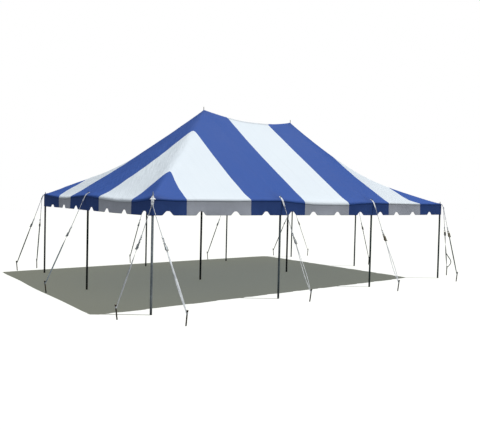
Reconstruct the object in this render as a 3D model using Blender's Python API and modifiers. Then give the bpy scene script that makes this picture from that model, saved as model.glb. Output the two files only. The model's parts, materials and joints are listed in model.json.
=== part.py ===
"""Pole party tent: a striped top on two centre poles, ten side poles and fourteen staked guys.

Metres, +Z up. The origin is on the ground at the middle of the plan. +X runs along the long side,
+Y from the front to the back, and everything is modelled from ground level up.
"""

from math import cos, pi, sin

import bmesh
import bpy
from mathutils import Matrix, Vector

# Plan: side poles stand every ten feet, and the fabric reaches a little past them
FOOT = 0.3048
BAY = 10 * FOOT
FABRIC_EDGE = 0.06
HALF_LENGTH = 1.5 * BAY + FABRIC_EDGE
HALF_WIDTH = BAY + FABRIC_EDGE
RUN = BAY + FABRIC_EDGE

# The top's heights: eave at a pole, peak above the eave, and what hangs between them
EAVE_HEIGHT = 2.09
PEAK_RISE = 2.32
EAVE_SAG = 0.062
RIDGE_SAG = 0.172
RIDGE_ROUNDNESS = 0.59
HIP_SLACK = {"front_left": 0.2, "front_right": 1.3, "back_left": 1.0, "back_right": 1.0}
HIP_CURVE = 2.2
SHEET = 0.004
LONGEST_CELL = 0.5

# Stripes: the white one of each corner lies between two joints, measured in feet from the corner pole
CORNER_WHITE = {
    "front_left": (2.4, 7.5),
    "front_right": (3.1, 7.5),
    "back_left": (3.6, 6.5),
    "back_right": (3.6, 6.5),
}
MIDDLE_WHITE = (12.4 * FOOT - 1.5 * BAY, 17.3 * FOOT - 1.5 * BAY)
PAD = 0.12

# Valance: its drop, and the count, first place and pitch of the notches in its hem
VALANCE_DROP = 0.275
GAP = 0.0003
LONG_NOTCHES = (12, 1.25 * FOOT, 2.5 * FOOT)
SHORT_NOTCHES = (7, 1.23 * FOOT, 2.78 * FOOT)
NOTCH_OUTLINE = ((-0.13, 0.0), (-0.075, 0.05), (-0.045, 0.075), (0.045, 0.075), (0.075, 0.05), (0.13, 0.0))
CLOSEST_STATIONS = 0.004

# Poles: tube, and the pin on top that passes through the fabric
ROUND_SIDES = 12
SIDE_POLE_RADIUS = 0.0225
CENTRE_POLE_RADIUS = 0.0255
PIN_RADIUS = 0.008
PIN_SHOWS = 0.075
EDGE_CHAMFER = 0.003
SHOULDER_DROP = 0.0075
HOLE_CLEARANCE = 0.0004
HOLE_REACH = 0.1

# Stakes, which lean away from the tent
STAKE_RADIUS = 0.0125
STAKE_HEAD_RADIUS = 0.019
STAKE_HEIGHT = 0.27
STAKE_HEAD = 0.026
STAKE_LEAN = 0.12

# Guys: a flat tab over the eave, a rope down to the ratchet, then webbing looped round the stake
TAB_HALF = (0.025, 0.0015)
CORNER_TAB_HALF = (0.034, 0.002)
KNOT_HALF = (0.02, 0.009)
ROPE_HALF = (0.0065, 0.0065)
WEB_HALF = (0.017, 0.002)
TIED_HALF = (0.011, 0.002)
FLAT = 0.4
ROUND = 1.0
BAND_SIDES = 8
TAB_TAIL = 0.03
TAB_LIFT = 0.0008
TAB_LIFT_SHARE = 1.3
TAB_CLEAR = 0.009
TAB_FALL = {"side": 0.012, "corner": 0.1}
TAB_SLANT = 0.55
TAB_LENGTH = 0.13
ROPE_ABOVE_KNOT = 0.012
ROPE_INTO_KNOT = 0.004
TAPER = 0.03
LOOP_HEIGHT = 0.03
LOOP_WALL = 0.005
LOOP_BELOW_HEAD = 0.012
BORE_PAST = 0.05
RATCHET_SHARE = 0.42

# Ratchets: a steel frame on either side of the webbing, with a spool under it and a handle over it
RATCHET_HALF = 0.1
PLATE = 0.003
PLATE_INNER = 0.0195
PLATE_DEPTH = (-0.018, 0.016)
BAR_SIDES = 8
SPOOL_RADIUS = 0.008
SPOOL_PLACE = 0.05
ROPE_BAR_RADIUS = 0.005
ROPE_BAR_PLACE = -0.08
HANDLE_SPAN = (-0.03, 0.105)
GRIP_FROM = 0.09
HANDLE_RAISE = 0.035

CORNERS = {
    "front_left": (-1.5 * BAY, -BAY),
    "front_right": (1.5 * BAY, -BAY),
    "back_left": (-1.5 * BAY, BAY),
    "back_right": (1.5 * BAY, BAY),
}

# Side poles between the corners: place, and the way out over the eave
SIDES = {
    "front_a": ((-0.5 * BAY, -BAY), (0, -1)),
    "front_b": ((0.5 * BAY, -BAY), (0, -1)),
    "back_a": ((-0.5 * BAY, BAY), (0, 1)),
    "back_b": ((0.5 * BAY, BAY), (0, 1)),
    "left": ((-1.5 * BAY, 0.0), (-1, 0)),
    "right": ((1.5 * BAY, 0.0), (1, 0)),
}
CENTRES = {"left": (-0.5 * BAY, 0.0), "right": (0.5 * BAY, 0.0)}

# Where each stake enters the ground, from the foot of its pole
CORNER_STAKES = {
    "front_left": ((-0.66, -0.03), (0.1, -1.03)),
    "front_right": ((0.79, 0.2), (-0.13, -0.64)),
    "back_left": ((-0.5, 0.78), (0.1, 1.03)),
    "back_right": ((0.89, 0.03), (-0.3, 0.66)),
}
SIDE_STAKES = {
    "front_a": (0.35, -0.6),
    "front_b": (0.11, -0.76),
    "back_a": (-0.06, 0.95),
    "back_b": (-0.28, 0.7),
    "left": (-0.89, 0.03),
    "right": (0.76, 0.02),
}


# Scene, materials and helpers
def clear_scene():
    for item in list(bpy.data.objects):
        bpy.data.objects.remove(item)


def new_collection(name):
    collection = bpy.data.collections.new(name)
    bpy.context.scene.collection.children.link(collection)
    return collection


def new_material(name, colour, roughness, metallic):
    material = bpy.data.materials.new(name)
    material.use_nodes = True
    shader = material.node_tree.nodes["Principled BSDF"]
    shader.inputs["Base Color"].default_value = (*colour, 1.0)
    shader.inputs["Roughness"].default_value = roughness
    shader.inputs["Metallic"].default_value = metallic
    material.diffuse_color = (*colour, 1.0)
    return material


clear_scene()
tent = new_collection("pole_party_tent")
cutters = new_collection("cutters")
blue_vinyl = new_material("blue_vinyl", (0.055, 0.12, 0.39), 0.45, 0.0)
white_vinyl = new_material("white_vinyl", (0.78, 0.82, 0.84), 0.45, 0.0)
pole_steel = new_material("galvanised_steel", (0.2, 0.24, 0.24), 0.45, 0.9)
stake_steel = new_material("forged_steel", (0.09, 0.085, 0.07), 0.6, 0.8)
webbing = new_material("polyester_webbing", (0.6, 0.63, 0.63), 0.75, 0.0)
ratchet_steel = new_material("bronzed_steel", (0.1, 0.085, 0.05), 0.45, 0.85)

tent_origin = bpy.data.objects.new("tent_origin", None)
tent.objects.link(tent_origin)


def add_part(name, mesh, *materials):
    """A visible sub-part: one object of its own name under the tent's origin."""
    part = bpy.data.objects.new(name, mesh)
    mesh.materials.clear()
    for material in materials:
        mesh.materials.append(material)
    tent.objects.link(part)
    part.parent = tent_origin
    return part


def add_cutter(name, mesh):
    """A helper solid that other pieces are cut with or joined to."""
    cutter = bpy.data.objects.new(name, mesh)
    cutter.hide_render = True
    cutter.display_type = "WIRE"
    cutters.objects.link(cutter)
    return cutter


def boolean(part, other, operation):
    modifier = part.modifiers.new(operation.lower(), "BOOLEAN")
    modifier.operation = operation
    modifier.solver = "EXACT"
    modifier.object = other


def mesh_from(name, bm):
    bmesh.ops.recalc_face_normals(bm, faces=bm.faces)
    mesh = bpy.data.meshes.new(name)
    bm.to_mesh(mesh)
    bm.free()
    return mesh


def lean_over(bm, lean):
    """Shifts each vertex sideways by lean for each metre of its height."""
    for vertex in bm.verts:
        vertex.co.x += lean[0] * vertex.co.z
        vertex.co.y += lean[1] * vertex.co.z


def rod_mesh(name, radius, low, high, sides=ROUND_SIDES, matrix=Matrix.Identity(4), lean=(0.0, 0.0)):
    """A round rod along the matrix's Z from low to high."""
    bm = bmesh.new()
    place = matrix @ Matrix.Translation((0, 0, (low + high) / 2))
    bmesh.ops.create_cone(
        bm, cap_ends=True, segments=sides, radius1=radius, radius2=radius, depth=high - low, matrix=place
    )
    lean_over(bm, lean)
    return mesh_from(name, bm)


def settled_mesh(name, blank):
    """The mesh of an object with its modifiers worked out. The object itself is removed."""
    bpy.context.view_layer.update()
    graph = bpy.context.evaluated_depsgraph_get()
    mesh = bpy.data.meshes.new_from_object(blank.evaluated_get(graph))
    mesh.name = name
    bpy.data.objects.remove(blank)
    return mesh


def turned_mesh(name, profile, lean=(0.0, 0.0)):
    """A profile of radius and height pairs, top to bottom, turned about Z."""
    outline = bpy.data.meshes.new(name + "_profile")
    edges = [(index, index + 1) for index in range(len(profile) - 1)]
    outline.from_pydata([(radius, 0, height) for radius, height in profile], edges, [])
    blank = bpy.data.objects.new(name + "_blank", outline)
    cutters.objects.link(blank)
    screw = blank.modifiers.new("turn", "SCREW")
    screw.steps = ROUND_SIDES
    screw.render_steps = ROUND_SIDES
    screw.use_merge_vertices = True
    screw.merge_threshold = 0.0001
    mesh = settled_mesh(name, blank)
    bm = bmesh.new()
    bm.from_mesh(mesh)
    lean_over(bm, lean)
    bm.to_mesh(mesh)
    bm.free()
    mesh.shade_smooth()
    mesh.set_sharp_from_angle(angle=pi / 5)
    return mesh


def thicken(part, offset):
    shell = part.modifiers.new("sheet", "SOLIDIFY")
    shell.thickness = SHEET
    shell.offset = offset
    shell.use_even_offset = True


# Shape of the top
def corner_of(x, y):
    return ("front" if y < 0 else "back") + ("_left" if x < 0 else "_right")


def eave_drop(along):
    """How far the eave hangs between two poles, at a distance along it from the corner pole."""
    return EAVE_SAG * sin(pi * along / BAY) ** 2


def roof_height(x, y):
    """Height of the fabric's upper face: straight from the eave up to the hip or the ridge."""
    from_end = HALF_LENGTH - abs(x)
    from_side = HALF_WIDTH - abs(y)
    on_long_slope = from_side <= from_end
    along = (x + 1.5 * BAY) if on_long_slope else (y + BAY)
    reach = min(from_end, RUN) if on_long_slope else from_side
    share = reach / RUN
    slack = HIP_SLACK[corner_of(x, y)] * (share - share**HIP_CURVE)
    crest = EAVE_HEIGHT + PEAK_RISE * share - slack
    if from_end > RUN:
        between = 1 - (x / (BAY / 2)) ** 2
        crest = EAVE_HEIGHT + PEAK_RISE - RIDGE_SAG * max(between, 0.0) ** RIDGE_ROUNDNESS
    edge = EAVE_HEIGHT - eave_drop(along)
    return edge + (crest - edge) * min(from_end, from_side) / reach if reach > 0 else edge


def is_white(x, y):
    """Stripes run up each slope from its eave, and meet at the hips."""
    from_end = HALF_LENGTH - abs(x)
    from_side = HALF_WIDTH - abs(y)
    if from_side <= from_end and from_end > RUN:
        return MIDDLE_WHITE[0] < x < MIDDLE_WHITE[1]
    outer, inner = CORNER_WHITE[corner_of(x, y)]
    station = max(from_end, from_side) - FABRIC_EDGE
    return outer * FOOT < station < inner * FOOT


# Canopy
def corner_lines():
    """Grid lines across one bay, from the fabric's edge to the peak, with one on each stripe joint."""
    joints = {joint * FOOT + FABRIC_EDGE for pair in CORNER_WHITE.values() for joint in pair}
    lines = sorted({0.0, PAD, RUN} | joints)
    filled = [lines[0]]
    for start, end in zip(lines[:-1], lines[1:]):
        pieces = int((end - start) / LONGEST_CELL) + 1
        filled += [start + (end - start) * piece / pieces for piece in range(1, pieces + 1)]
    return filled


def grid_lines(half, middle):
    """Lines from one edge of the fabric to the other, with those of both end bays alike."""
    first = [-half + line for line in corner_lines()]
    return sorted({round(line, 6) for line in first + middle + [-line for line in first]})


def is_on_hip(vertex):
    return abs(HALF_LENGTH - abs(vertex.co.x) - HALF_WIDTH + abs(vertex.co.y)) < 1e-5


def canopy_mesh():
    """The upper face as a grid over the plan, lifted to the roof's height and split along the hips."""
    joints = (-BAY / 2, *MIDDLE_WHITE, BAY / 2)
    middle = [*MIDDLE_WHITE] + [(start + end) / 2 for start, end in zip(joints[:-1], joints[1:])]
    x_lines = grid_lines(HALF_LENGTH, middle)
    y_lines = grid_lines(HALF_WIDTH, [])
    columns, rows = len(x_lines) - 1, len(y_lines) - 1
    bm = bmesh.new()
    bmesh.ops.create_grid(bm, x_segments=columns, y_segments=rows, size=1.0)
    for vertex in bm.verts:
        x = x_lines[round((vertex.co.x + 1) / 2 * columns)]
        y = y_lines[round((vertex.co.y + 1) / 2 * rows)]
        vertex.co = (x, y, roof_height(x, y))
    for face in list(bm.faces):
        on_hip = [vertex for vertex in face.verts if is_on_hip(vertex)]
        if len(on_hip) == 2:
            bmesh.ops.connect_verts(bm, verts=on_hip)
    bmesh.ops.triangulate(bm, faces=bm.faces, quad_method="SHORT_EDGE")
    for face in bm.faces:
        centre = face.calc_center_median()
        face.material_index = int(is_white(centre.x, centre.y))
    return mesh_from("canopy", bm)


def pin_hole(name, place):
    """A cutter for the hole that a pole's pin passes through."""
    cutter = add_cutter(name, rod_mesh(name, PIN_RADIUS + HOLE_CLEARANCE, -HOLE_REACH, HOLE_REACH))
    cutter.location = (*place, roof_height(*place))
    return cutter


def build_canopy():
    canopy = add_part("canopy", canopy_mesh(), blue_vinyl, white_vinyl)
    thicken(canopy, -1)
    places = [*CORNERS.values(), *CENTRES.values()] + [place for place, _ in SIDES.values()]
    for index, place in enumerate(places):
        boolean(canopy, pin_hole("canopy_hole_" + str(index + 1), place), "DIFFERENCE")


# Valance
def notch_rise(along, notches):
    """How far the hem is cut up at a distance along the eave from the corner pole."""
    count, first, pitch = notches
    nearest = min(max(round((along - first) / pitch), 0), count - 1)
    offset = along - first - nearest * pitch
    for (left, low), (right, high) in zip(NOTCH_OUTLINE[:-1], NOTCH_OUTLINE[1:]):
        if left <= offset <= right:
            return low + (high - low) * (offset - left) / (right - left)
    return 0.0


def valance_stations(length, notches, joints):
    """Distances from the corner pole where the hem, the eave or the stripe changes."""
    count, first, pitch = notches
    stations = {-FABRIC_EDGE, length + FABRIC_EDGE} | set(joints)
    for notch in range(count):
        stations |= {first + notch * pitch + offset for offset, _ in NOTCH_OUTLINE}
    kept = []
    for station in sorted(stations):
        if not kept or station - kept[-1] > CLOSEST_STATIONS:
            kept.append(station)
    return kept


def valance_mesh(name, length, notches, joints, place, white):
    """A strip hanging from the eave: place turns a distance along it into a plan point."""
    bm = bmesh.new()
    columns = []
    for station in valance_stations(length, notches, joints):
        x, y = place(station)
        top = EAVE_HEIGHT - eave_drop(station)
        hem = top - VALANCE_DROP + notch_rise(station, notches)
        columns.append((station, bm.verts.new((x, y, hem)), bm.verts.new((x, y, top))))
    for (start, low, high), (end, next_low, next_high) in zip(columns[:-1], columns[1:]):
        face = bm.faces.new((low, next_low, next_high, high))
        face.material_index = int(white((start + end) / 2))
    mesh = bpy.data.meshes.new(name)
    bm.to_mesh(mesh)
    bm.free()
    return mesh


def build_valance(side):
    """One side's valance. Those of the long sides run past the ends of the short ones."""
    long_side = side in ("front", "back")
    sign = -1 if side in ("front", "left") else 1
    length = 3 * BAY if long_side else 2 * BAY
    half_depth = HALF_WIDTH if long_side else HALF_LENGTH
    overlap = (GAP + SHEET) if long_side else 0.0

    def plan(along, depth):
        return (along, sign * depth) if long_side else (sign * depth, along)

    def place(station):
        past = overlap if station > length else -overlap if station < 0 else 0.0
        return plan(station - length / 2 + past, half_depth + GAP)

    def white(station):
        return is_white(*plan(station - length / 2, half_depth - GAP))

    joints = [joint + length / 2 for joint in MIDDLE_WHITE] if long_side else []
    for corner, pair in CORNER_WHITE.items():
        if side in corner:
            at_start = ("left" if long_side else "front") in corner
            joints += [joint * FOOT if at_start else length - joint * FOOT for joint in pair]
    name = "valance_" + side
    notches = LONG_NOTCHES if long_side else SHORT_NOTCHES
    mesh = valance_mesh(name, length, notches, joints, place, white)
    valance = add_part(name, mesh, blue_vinyl, white_vinyl)
    thicken(valance, 1 if side in ("front", "right") else -1)


# Poles
def shoulder_height(x, y, radius):
    """Top of the tube: just under the lowest fabric over its end."""
    turns = [2 * pi * turn / ROUND_SIDES for turn in range(ROUND_SIDES)]
    return min(roof_height(x + radius * cos(turn), y + radius * sin(turn)) for turn in turns) - SHOULDER_DROP


def build_pole(name, place, radius):
    shoulder = shoulder_height(*place, radius)
    pin_top = roof_height(*place) + PIN_SHOWS
    profile = (
        (0.0, pin_top),
        (PIN_RADIUS - EDGE_CHAMFER, pin_top),
        (PIN_RADIUS, pin_top - EDGE_CHAMFER),
        (PIN_RADIUS, shoulder),
        (radius - EDGE_CHAMFER, shoulder),
        (radius, shoulder - EDGE_CHAMFER),
        (radius, 0.0),
        (0.0, 0.0),
    )
    pole = add_part(name, turned_mesh(name, profile), pole_steel)
    pole.location = (*place, 0)


# Stakes
def ground_point(pole, away, height=0.0):
    """A point on a stake's axis, by its height."""
    lean = stake_lean(away)
    return Vector((pole[0] + away[0] + lean[0] * height, pole[1] + away[1] + lean[1] * height, height))


def stake_lean(away):
    flat = Vector(away).normalized() * STAKE_LEAN
    return flat.x, flat.y


def build_stake(name, pole, away):
    head_low = STAKE_HEIGHT - STAKE_HEAD
    profile = (
        (0.0, STAKE_HEIGHT),
        (STAKE_HEAD_RADIUS - EDGE_CHAMFER, STAKE_HEIGHT),
        (STAKE_HEAD_RADIUS, STAKE_HEIGHT - EDGE_CHAMFER),
        (STAKE_HEAD_RADIUS, head_low + EDGE_CHAMFER),
        (STAKE_RADIUS, head_low),
        (STAKE_RADIUS, 0.0),
        (0.0, 0.0),
    )
    stake = add_part(name, turned_mesh(name, profile, stake_lean(away)), stake_steel)
    stake.location = ground_point(pole, away)


# Guys
def loop_height():
    return STAKE_HEIGHT - STAKE_HEAD - LOOP_BELOW_HEAD - LOOP_HEIGHT / 2


def tied_point(pole, away):
    """Where the webbing meets its loop on the stake, on the tent's side and below the head."""
    towards = Vector((*away, 0)).normalized() * (STAKE_RADIUS + LOOP_WALL / 2)
    return ground_point(pole, away, loop_height()) - towards


def squared(value, squareness):
    """A sine or cosine pushed out towards a flat band's corners."""
    return abs(value) ** squareness * (1 if value > 0 else -1)


def band_mesh(name, path, sections, across):
    """A strap or rope along a path, each point with its half width, half thickness and squareness."""
    bm = bmesh.new()
    turns = [2 * pi * (corner + 0.5) / BAND_SIDES for corner in range(BAND_SIDES)]
    rings = []
    for index, (point, (half_width, half_depth, squareness)) in enumerate(zip(path, sections)):
        before = path[max(index - 1, 0)]
        after = path[min(index + 1, len(path) - 1)]
        along = (after - before).normalized()
        side = (across - along * across.dot(along)).normalized()
        normal = along.cross(side)
        ring = []
        for turn in turns:
            sideways = side * half_width * squared(cos(turn), squareness)
            ring.append(bm.verts.new(point + sideways + normal * half_depth * squared(sin(turn), squareness)))
        rings.append(ring)
    for ring, following in zip(rings[:-1], rings[1:]):
        for corner in range(BAND_SIDES):
            beside = (corner + 1) % BAND_SIDES
            bm.faces.new((ring[corner], ring[beside], following[beside], following[corner]))
    bm.faces.new(rings[0])
    bm.faces.new(reversed(rings[-1]))
    return mesh_from(name, bm)


def lowered_guy(start, end):
    """Path and sections from the tab's lower end to the stake, with the ratchet's place and direction."""
    length = (end - start).length
    middle = length * RATCHET_SHARE
    stations = (
        (0.0, (*ROPE_HALF, ROUND)),
        (middle - RATCHET_HALF - 2 * TAPER, (*ROPE_HALF, ROUND)),
        (middle - RATCHET_HALF - TAPER, (*WEB_HALF, FLAT)),
        (middle + RATCHET_HALF + TAPER, (*WEB_HALF, FLAT)),
        (length - 4 * TAPER, (*WEB_HALF, FLAT)),
        (length, (*TIED_HALF, FLAT)),
    )
    along = (end - start).normalized()
    path = [start + along * station for station, _ in stations]
    sections = [section for _, section in stations]
    return path, sections, start + along * middle, along


def loop_cutters(name, pole, away):
    """The webbing's loop round the stake, and the bore that the stake fills."""
    low, high = loop_height() - LOOP_HEIGHT / 2, loop_height() + LOOP_HEIGHT / 2
    bore = STAKE_RADIUS + HOLE_CLEARANCE
    lean = stake_lean(away)
    loop = add_cutter(name + "_loop", rod_mesh("loop", bore + LOOP_WALL, low, high, lean=lean))
    hole = add_cutter(name + "_bore", rod_mesh("bore", bore, low - BORE_PAST, high + BORE_PAST, lean=lean))
    for cutter in (loop, hole):
        cutter.location = ground_point(pole, away)
    return loop, hole


def tab_path(pole, out, half, fall):
    """The tab from behind the pin, over the eave, and down by fall in front of the valance."""
    direction = Vector((*out, 0)).normalized()
    to_edge = FABRIC_EDGE * Vector(out).length
    past = to_edge + TAB_CLEAR * Vector(out).length
    lift = TAB_LIFT + half * TAB_LIFT_SHARE
    slope = (roof_height(*pole) - EAVE_HEIGHT) / to_edge
    pin_level = roof_height(*pole) + lift

    def over(distance, height):
        return Vector((*pole, height)) + direction * distance

    return [
        over(-TAB_TAIL, pin_level + slope * TAB_TAIL),
        over(0, pin_level),
        over(past, EAVE_HEIGHT + lift),
        over(past + TAB_SLANT * fall, EAVE_HEIGHT + lift - fall),
    ]


def place_ratchet(name, mesh, centre, along, across):
    side = (across - along * across.dot(along)).normalized()
    turn = Matrix((along, side, along.cross(side))).transposed().to_4x4()
    ratchet = add_part(name, mesh.copy(), ratchet_steel)
    ratchet.matrix_world = Matrix.Translation(centre) @ turn


def build_side_guy(key, ratchet):
    pole, out = SIDES[key]
    away = SIDE_STAKES[key]
    name = "guy_" + key
    across = Vector((-out[1], out[0], 0))
    top = tab_path(pole, out, TAB_HALF[1], TAB_FALL["side"])
    end = tied_point(pole, away)
    start = top[-1] + (end - top[-1]).normalized() * TAB_LENGTH
    path, sections, centre, along = lowered_guy(start, end)
    tab = [(*TAB_HALF, FLAT)] * (len(top) + 1)
    mesh = band_mesh(name, top + [start - along * TAPER] + path, tab + sections, across)
    guy = add_part(name, mesh, webbing)
    loop, bore = loop_cutters(name, pole, away)
    boolean(guy, loop, "UNION")
    boolean(guy, bore, "DIFFERENCE")
    boolean(guy, pin_hole(name + "_pin", pole), "DIFFERENCE")
    place_ratchet("ratchet_" + key, ratchet, centre, along, across)
    build_stake("stake_" + key, pole, away)


def build_corner_guy(key, ratchet):
    """One tab over the corner carries two ropes, each with its own ratchet and stake."""
    pole = CORNERS[key]
    out = (1 if pole[0] > 0 else -1, 1 if pole[1] > 0 else -1)
    across = Vector((-out[1], out[0], 0)).normalized()
    top = tab_path(pole, out, CORNER_TAB_HALF[1], TAB_FALL["corner"])
    tab = [(*CORNER_TAB_HALF, FLAT)] * (len(top) - 1) + [(*KNOT_HALF, FLAT)]
    guy = add_part("guy_corner_" + key, band_mesh("guy_corner_" + key, top, tab, across), webbing)
    bores = [pin_hole("guy_corner_" + key + "_pin", pole)]
    for letter, away in zip("ab", CORNER_STAKES[key]):
        name = key + "_" + letter
        end = tied_point(pole, away)
        flat = Vector((end.x - top[-1].x, end.y - top[-1].y, 0)).normalized()
        sideways = Vector((-flat.y, flat.x, 0))
        start = top[-1] + Vector((0, 0, ROPE_ABOVE_KNOT)) - flat * ROPE_INTO_KNOT
        path, sections, centre, along = lowered_guy(start, end)
        branch = add_cutter(name + "_rope", band_mesh(name, path, sections, sideways))
        loop, bore = loop_cutters(name, pole, away)
        boolean(guy, branch, "UNION")
        boolean(guy, loop, "UNION")
        bores.append(bore)
        place_ratchet("ratchet_corner_" + name, ratchet, centre, along, sideways)
        build_stake("stake_corner_" + name, pole, away)
    for bore in bores:
        boolean(guy, bore, "DIFFERENCE")


# Ratchets
def box_mesh(name, low, high):
    bm = bmesh.new()
    size = [b - a for a, b in zip(low, high)]
    middle = [(a + b) / 2 for a, b in zip(low, high)]
    scale = Matrix.Diagonal((*size, 1.0))
    bmesh.ops.create_cube(bm, size=1.0, matrix=Matrix.Translation(middle) @ scale)
    return mesh_from(name, bm)


def cross_bar(name, radius, x):
    """A round bar under the webbing, from the middle of one plate to the middle of the other."""
    reach = PLATE_INNER + PLATE / 2
    place = Matrix.Translation((x, 0, -WEB_HALF[1] - GAP - radius)) @ Matrix.Rotation(pi / 2, 4, "X")
    return rod_mesh(name, radius, -reach, reach, BAR_SIDES, place)


def ratchet_mesh():
    """X runs down the guy, Y across the webbing and Z out of its face."""
    low, high = PLATE_DEPTH
    outer = PLATE_INNER + PLATE
    handle_start, handle_end = HANDLE_SPAN
    pieces = [
        box_mesh("right_plate", (-RATCHET_HALF, -outer, low), (RATCHET_HALF, -PLATE_INNER, high)),
        cross_bar("spool", SPOOL_RADIUS, SPOOL_PLACE),
        cross_bar("rope_bar", ROPE_BAR_RADIUS, ROPE_BAR_PLACE),
        box_mesh("handle", (handle_start, -outer, high - PLATE), (handle_end, outer, high)),
        box_mesh("grip", (GRIP_FROM, -outer, high - PLATE), (handle_end, outer, HANDLE_RAISE)),
    ]
    left_plate = box_mesh("left_plate", (-RATCHET_HALF, PLATE_INNER, low), (RATCHET_HALF, outer, high))
    blank = add_cutter("ratchet_blank", left_plate)
    helpers = [add_cutter(piece.name, piece) for piece in pieces]
    for helper in helpers:
        boolean(blank, helper, "UNION")
    mesh = settled_mesh("ratchet", blank)
    for helper in helpers:
        bpy.data.objects.remove(helper)
    return mesh


# Everything together
build_canopy()
for valance_side in ("front", "back", "left", "right"):
    build_valance(valance_side)
for corner_key, corner_place in CORNERS.items():
    build_pole("corner_pole_" + corner_key, corner_place, SIDE_POLE_RADIUS)
for side_key, (side_place, _) in SIDES.items():
    build_pole("side_pole_" + side_key, side_place, SIDE_POLE_RADIUS)
for centre_key, centre_place in CENTRES.items():
    build_pole("centre_pole_" + centre_key, centre_place, CENTRE_POLE_RADIUS)
shared_ratchet = ratchet_mesh()
for side_key in SIDES:
    build_side_guy(side_key, shared_ratchet)
for corner_key in CORNERS:
    build_corner_guy(corner_key, shared_ratchet)
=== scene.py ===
"""The looks of the pole party tent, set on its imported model.

Metres, +Z up, with the origin on the ground at the middle of the plan. +X runs along the long side and +Y
from the front to the back. The file follows the tent as it is put up: poles, top, valances, guys and stakes.
"""

import json
from math import atan2, cos, exp, pi, radians, sin, sqrt

import bmesh
import bpy
from mathutils import Matrix, Vector, noise

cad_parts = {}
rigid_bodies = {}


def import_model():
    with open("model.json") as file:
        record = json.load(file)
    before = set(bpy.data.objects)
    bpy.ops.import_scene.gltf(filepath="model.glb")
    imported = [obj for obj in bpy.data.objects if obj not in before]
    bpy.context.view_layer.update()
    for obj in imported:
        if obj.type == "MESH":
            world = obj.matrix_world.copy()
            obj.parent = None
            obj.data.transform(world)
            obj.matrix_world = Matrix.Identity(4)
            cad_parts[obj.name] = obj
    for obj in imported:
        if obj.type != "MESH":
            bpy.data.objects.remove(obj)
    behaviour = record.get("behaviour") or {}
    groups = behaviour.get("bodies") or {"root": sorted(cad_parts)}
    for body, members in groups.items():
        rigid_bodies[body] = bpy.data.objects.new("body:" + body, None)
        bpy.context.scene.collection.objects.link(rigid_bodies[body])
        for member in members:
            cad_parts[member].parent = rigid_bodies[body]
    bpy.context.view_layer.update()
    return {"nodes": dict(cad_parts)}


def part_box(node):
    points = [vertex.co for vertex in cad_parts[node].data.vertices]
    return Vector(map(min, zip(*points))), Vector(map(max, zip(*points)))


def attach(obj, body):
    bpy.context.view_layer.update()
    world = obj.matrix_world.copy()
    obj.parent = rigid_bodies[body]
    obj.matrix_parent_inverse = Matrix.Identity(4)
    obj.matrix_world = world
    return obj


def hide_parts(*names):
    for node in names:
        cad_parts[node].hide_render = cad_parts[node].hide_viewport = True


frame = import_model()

# Poles
# Ten side poles of 45 mm steel tube and two centre poles of 51 mm, cut square and open at the foot. A plug
# welded into the top carries a 16 mm pin that goes up through the fabric. They are hot-dip galvanised and
# most have weathered, and one at the front is worn paler. The front left corner pole's zinc is painted pale,
# as light falling on it, and the centre poles and the back left corner and left side poles are painted nearly
# black, as shade.
FOOT = 0.3048
BAY = 10 * FOOT
CORNERS = {
    "front_left": (-1.5 * BAY, -BAY),
    "front_right": (1.5 * BAY, -BAY),
    "back_left": (-1.5 * BAY, BAY),
    "back_right": (1.5 * BAY, BAY),
}
SIDES = {
    "front_a": ((-0.5 * BAY, -BAY), (0, -1)),
    "front_b": ((0.5 * BAY, -BAY), (0, -1)),
    "back_a": ((-0.5 * BAY, BAY), (0, 1)),
    "back_b": ((0.5 * BAY, BAY), (0, 1)),
    "left": ((-1.5 * BAY, 0.0), (-1, 0)),
    "right": ((1.5 * BAY, 0.0), (1, 0)),
}
CENTRES = {"left": (-0.5 * BAY, 0.0), "right": (0.5 * BAY, 0.0)}
TUBE_WALL = 0.0025
PIN_RADIUS = 0.008
SHOULDER_BELOW_TIP = 0.0995
SHOULDER_RISE = {
    "corner_pole_front_left": 0.003,
    "corner_pole_front_right": 0.034,
    "corner_pole_back_left": 0.056,
    "corner_pole_back_right": 0.021,
    "side_pole_front_a": 0.029,
    "side_pole_front_b": 0.026,
    "side_pole_back_a": 0.026,
    "side_pole_back_b": 0.026,
    "side_pole_left": 0.036,
    "side_pole_right": 0.029,
}
WELD = 0.005
SPANGLE = 0.025
MUD_TOP = 0.32
ROUND_SIDES = 32


def linear(shade):
    """An sRGB hex colour as linear RGBA."""
    channels = [int(shade[start : start + 2], 16) / 255 for start in (1, 3, 5)]
    return (*[c / 12.92 if c <= 0.04045 else ((c + 0.055) / 1.055) ** 2.4 for c in channels], 1.0)


def add_node(tree, kind, inputs=None, ramp=(), **settings):
    """A shader node with its settings, inputs set to values or linked from sockets, and its ramp's tones."""
    made = tree.nodes.new("ShaderNode" + kind)
    for name, value in settings.items():
        setattr(made, name, value)
    for name, value in (inputs or {}).items():
        if isinstance(value, bpy.types.NodeSocket):
            tree.links.new(value, made.inputs[name])
        else:
            made.inputs[name].default_value = value
    for index, (place, shade) in enumerate(ramp):
        made.color_ramp.elements[index].position = place
        made.color_ramp.elements[index].color = linear(shade)
    return made


def new_material(name, metallic, roughness, **shader_values):
    """A material with its Principled shader, and uniform numbers on the shader's own sockets."""
    material = bpy.data.materials.new(name)
    material.use_nodes = True
    shader = material.node_tree.nodes["Principled BSDF"]
    shader.inputs["Metallic"].default_value = metallic
    shader.inputs["Roughness"].default_value = roughness
    for socket, value in shader_values.items():
        shader.inputs[socket.replace("_", " ")].default_value = value
    return material, material.node_tree, shader


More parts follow.
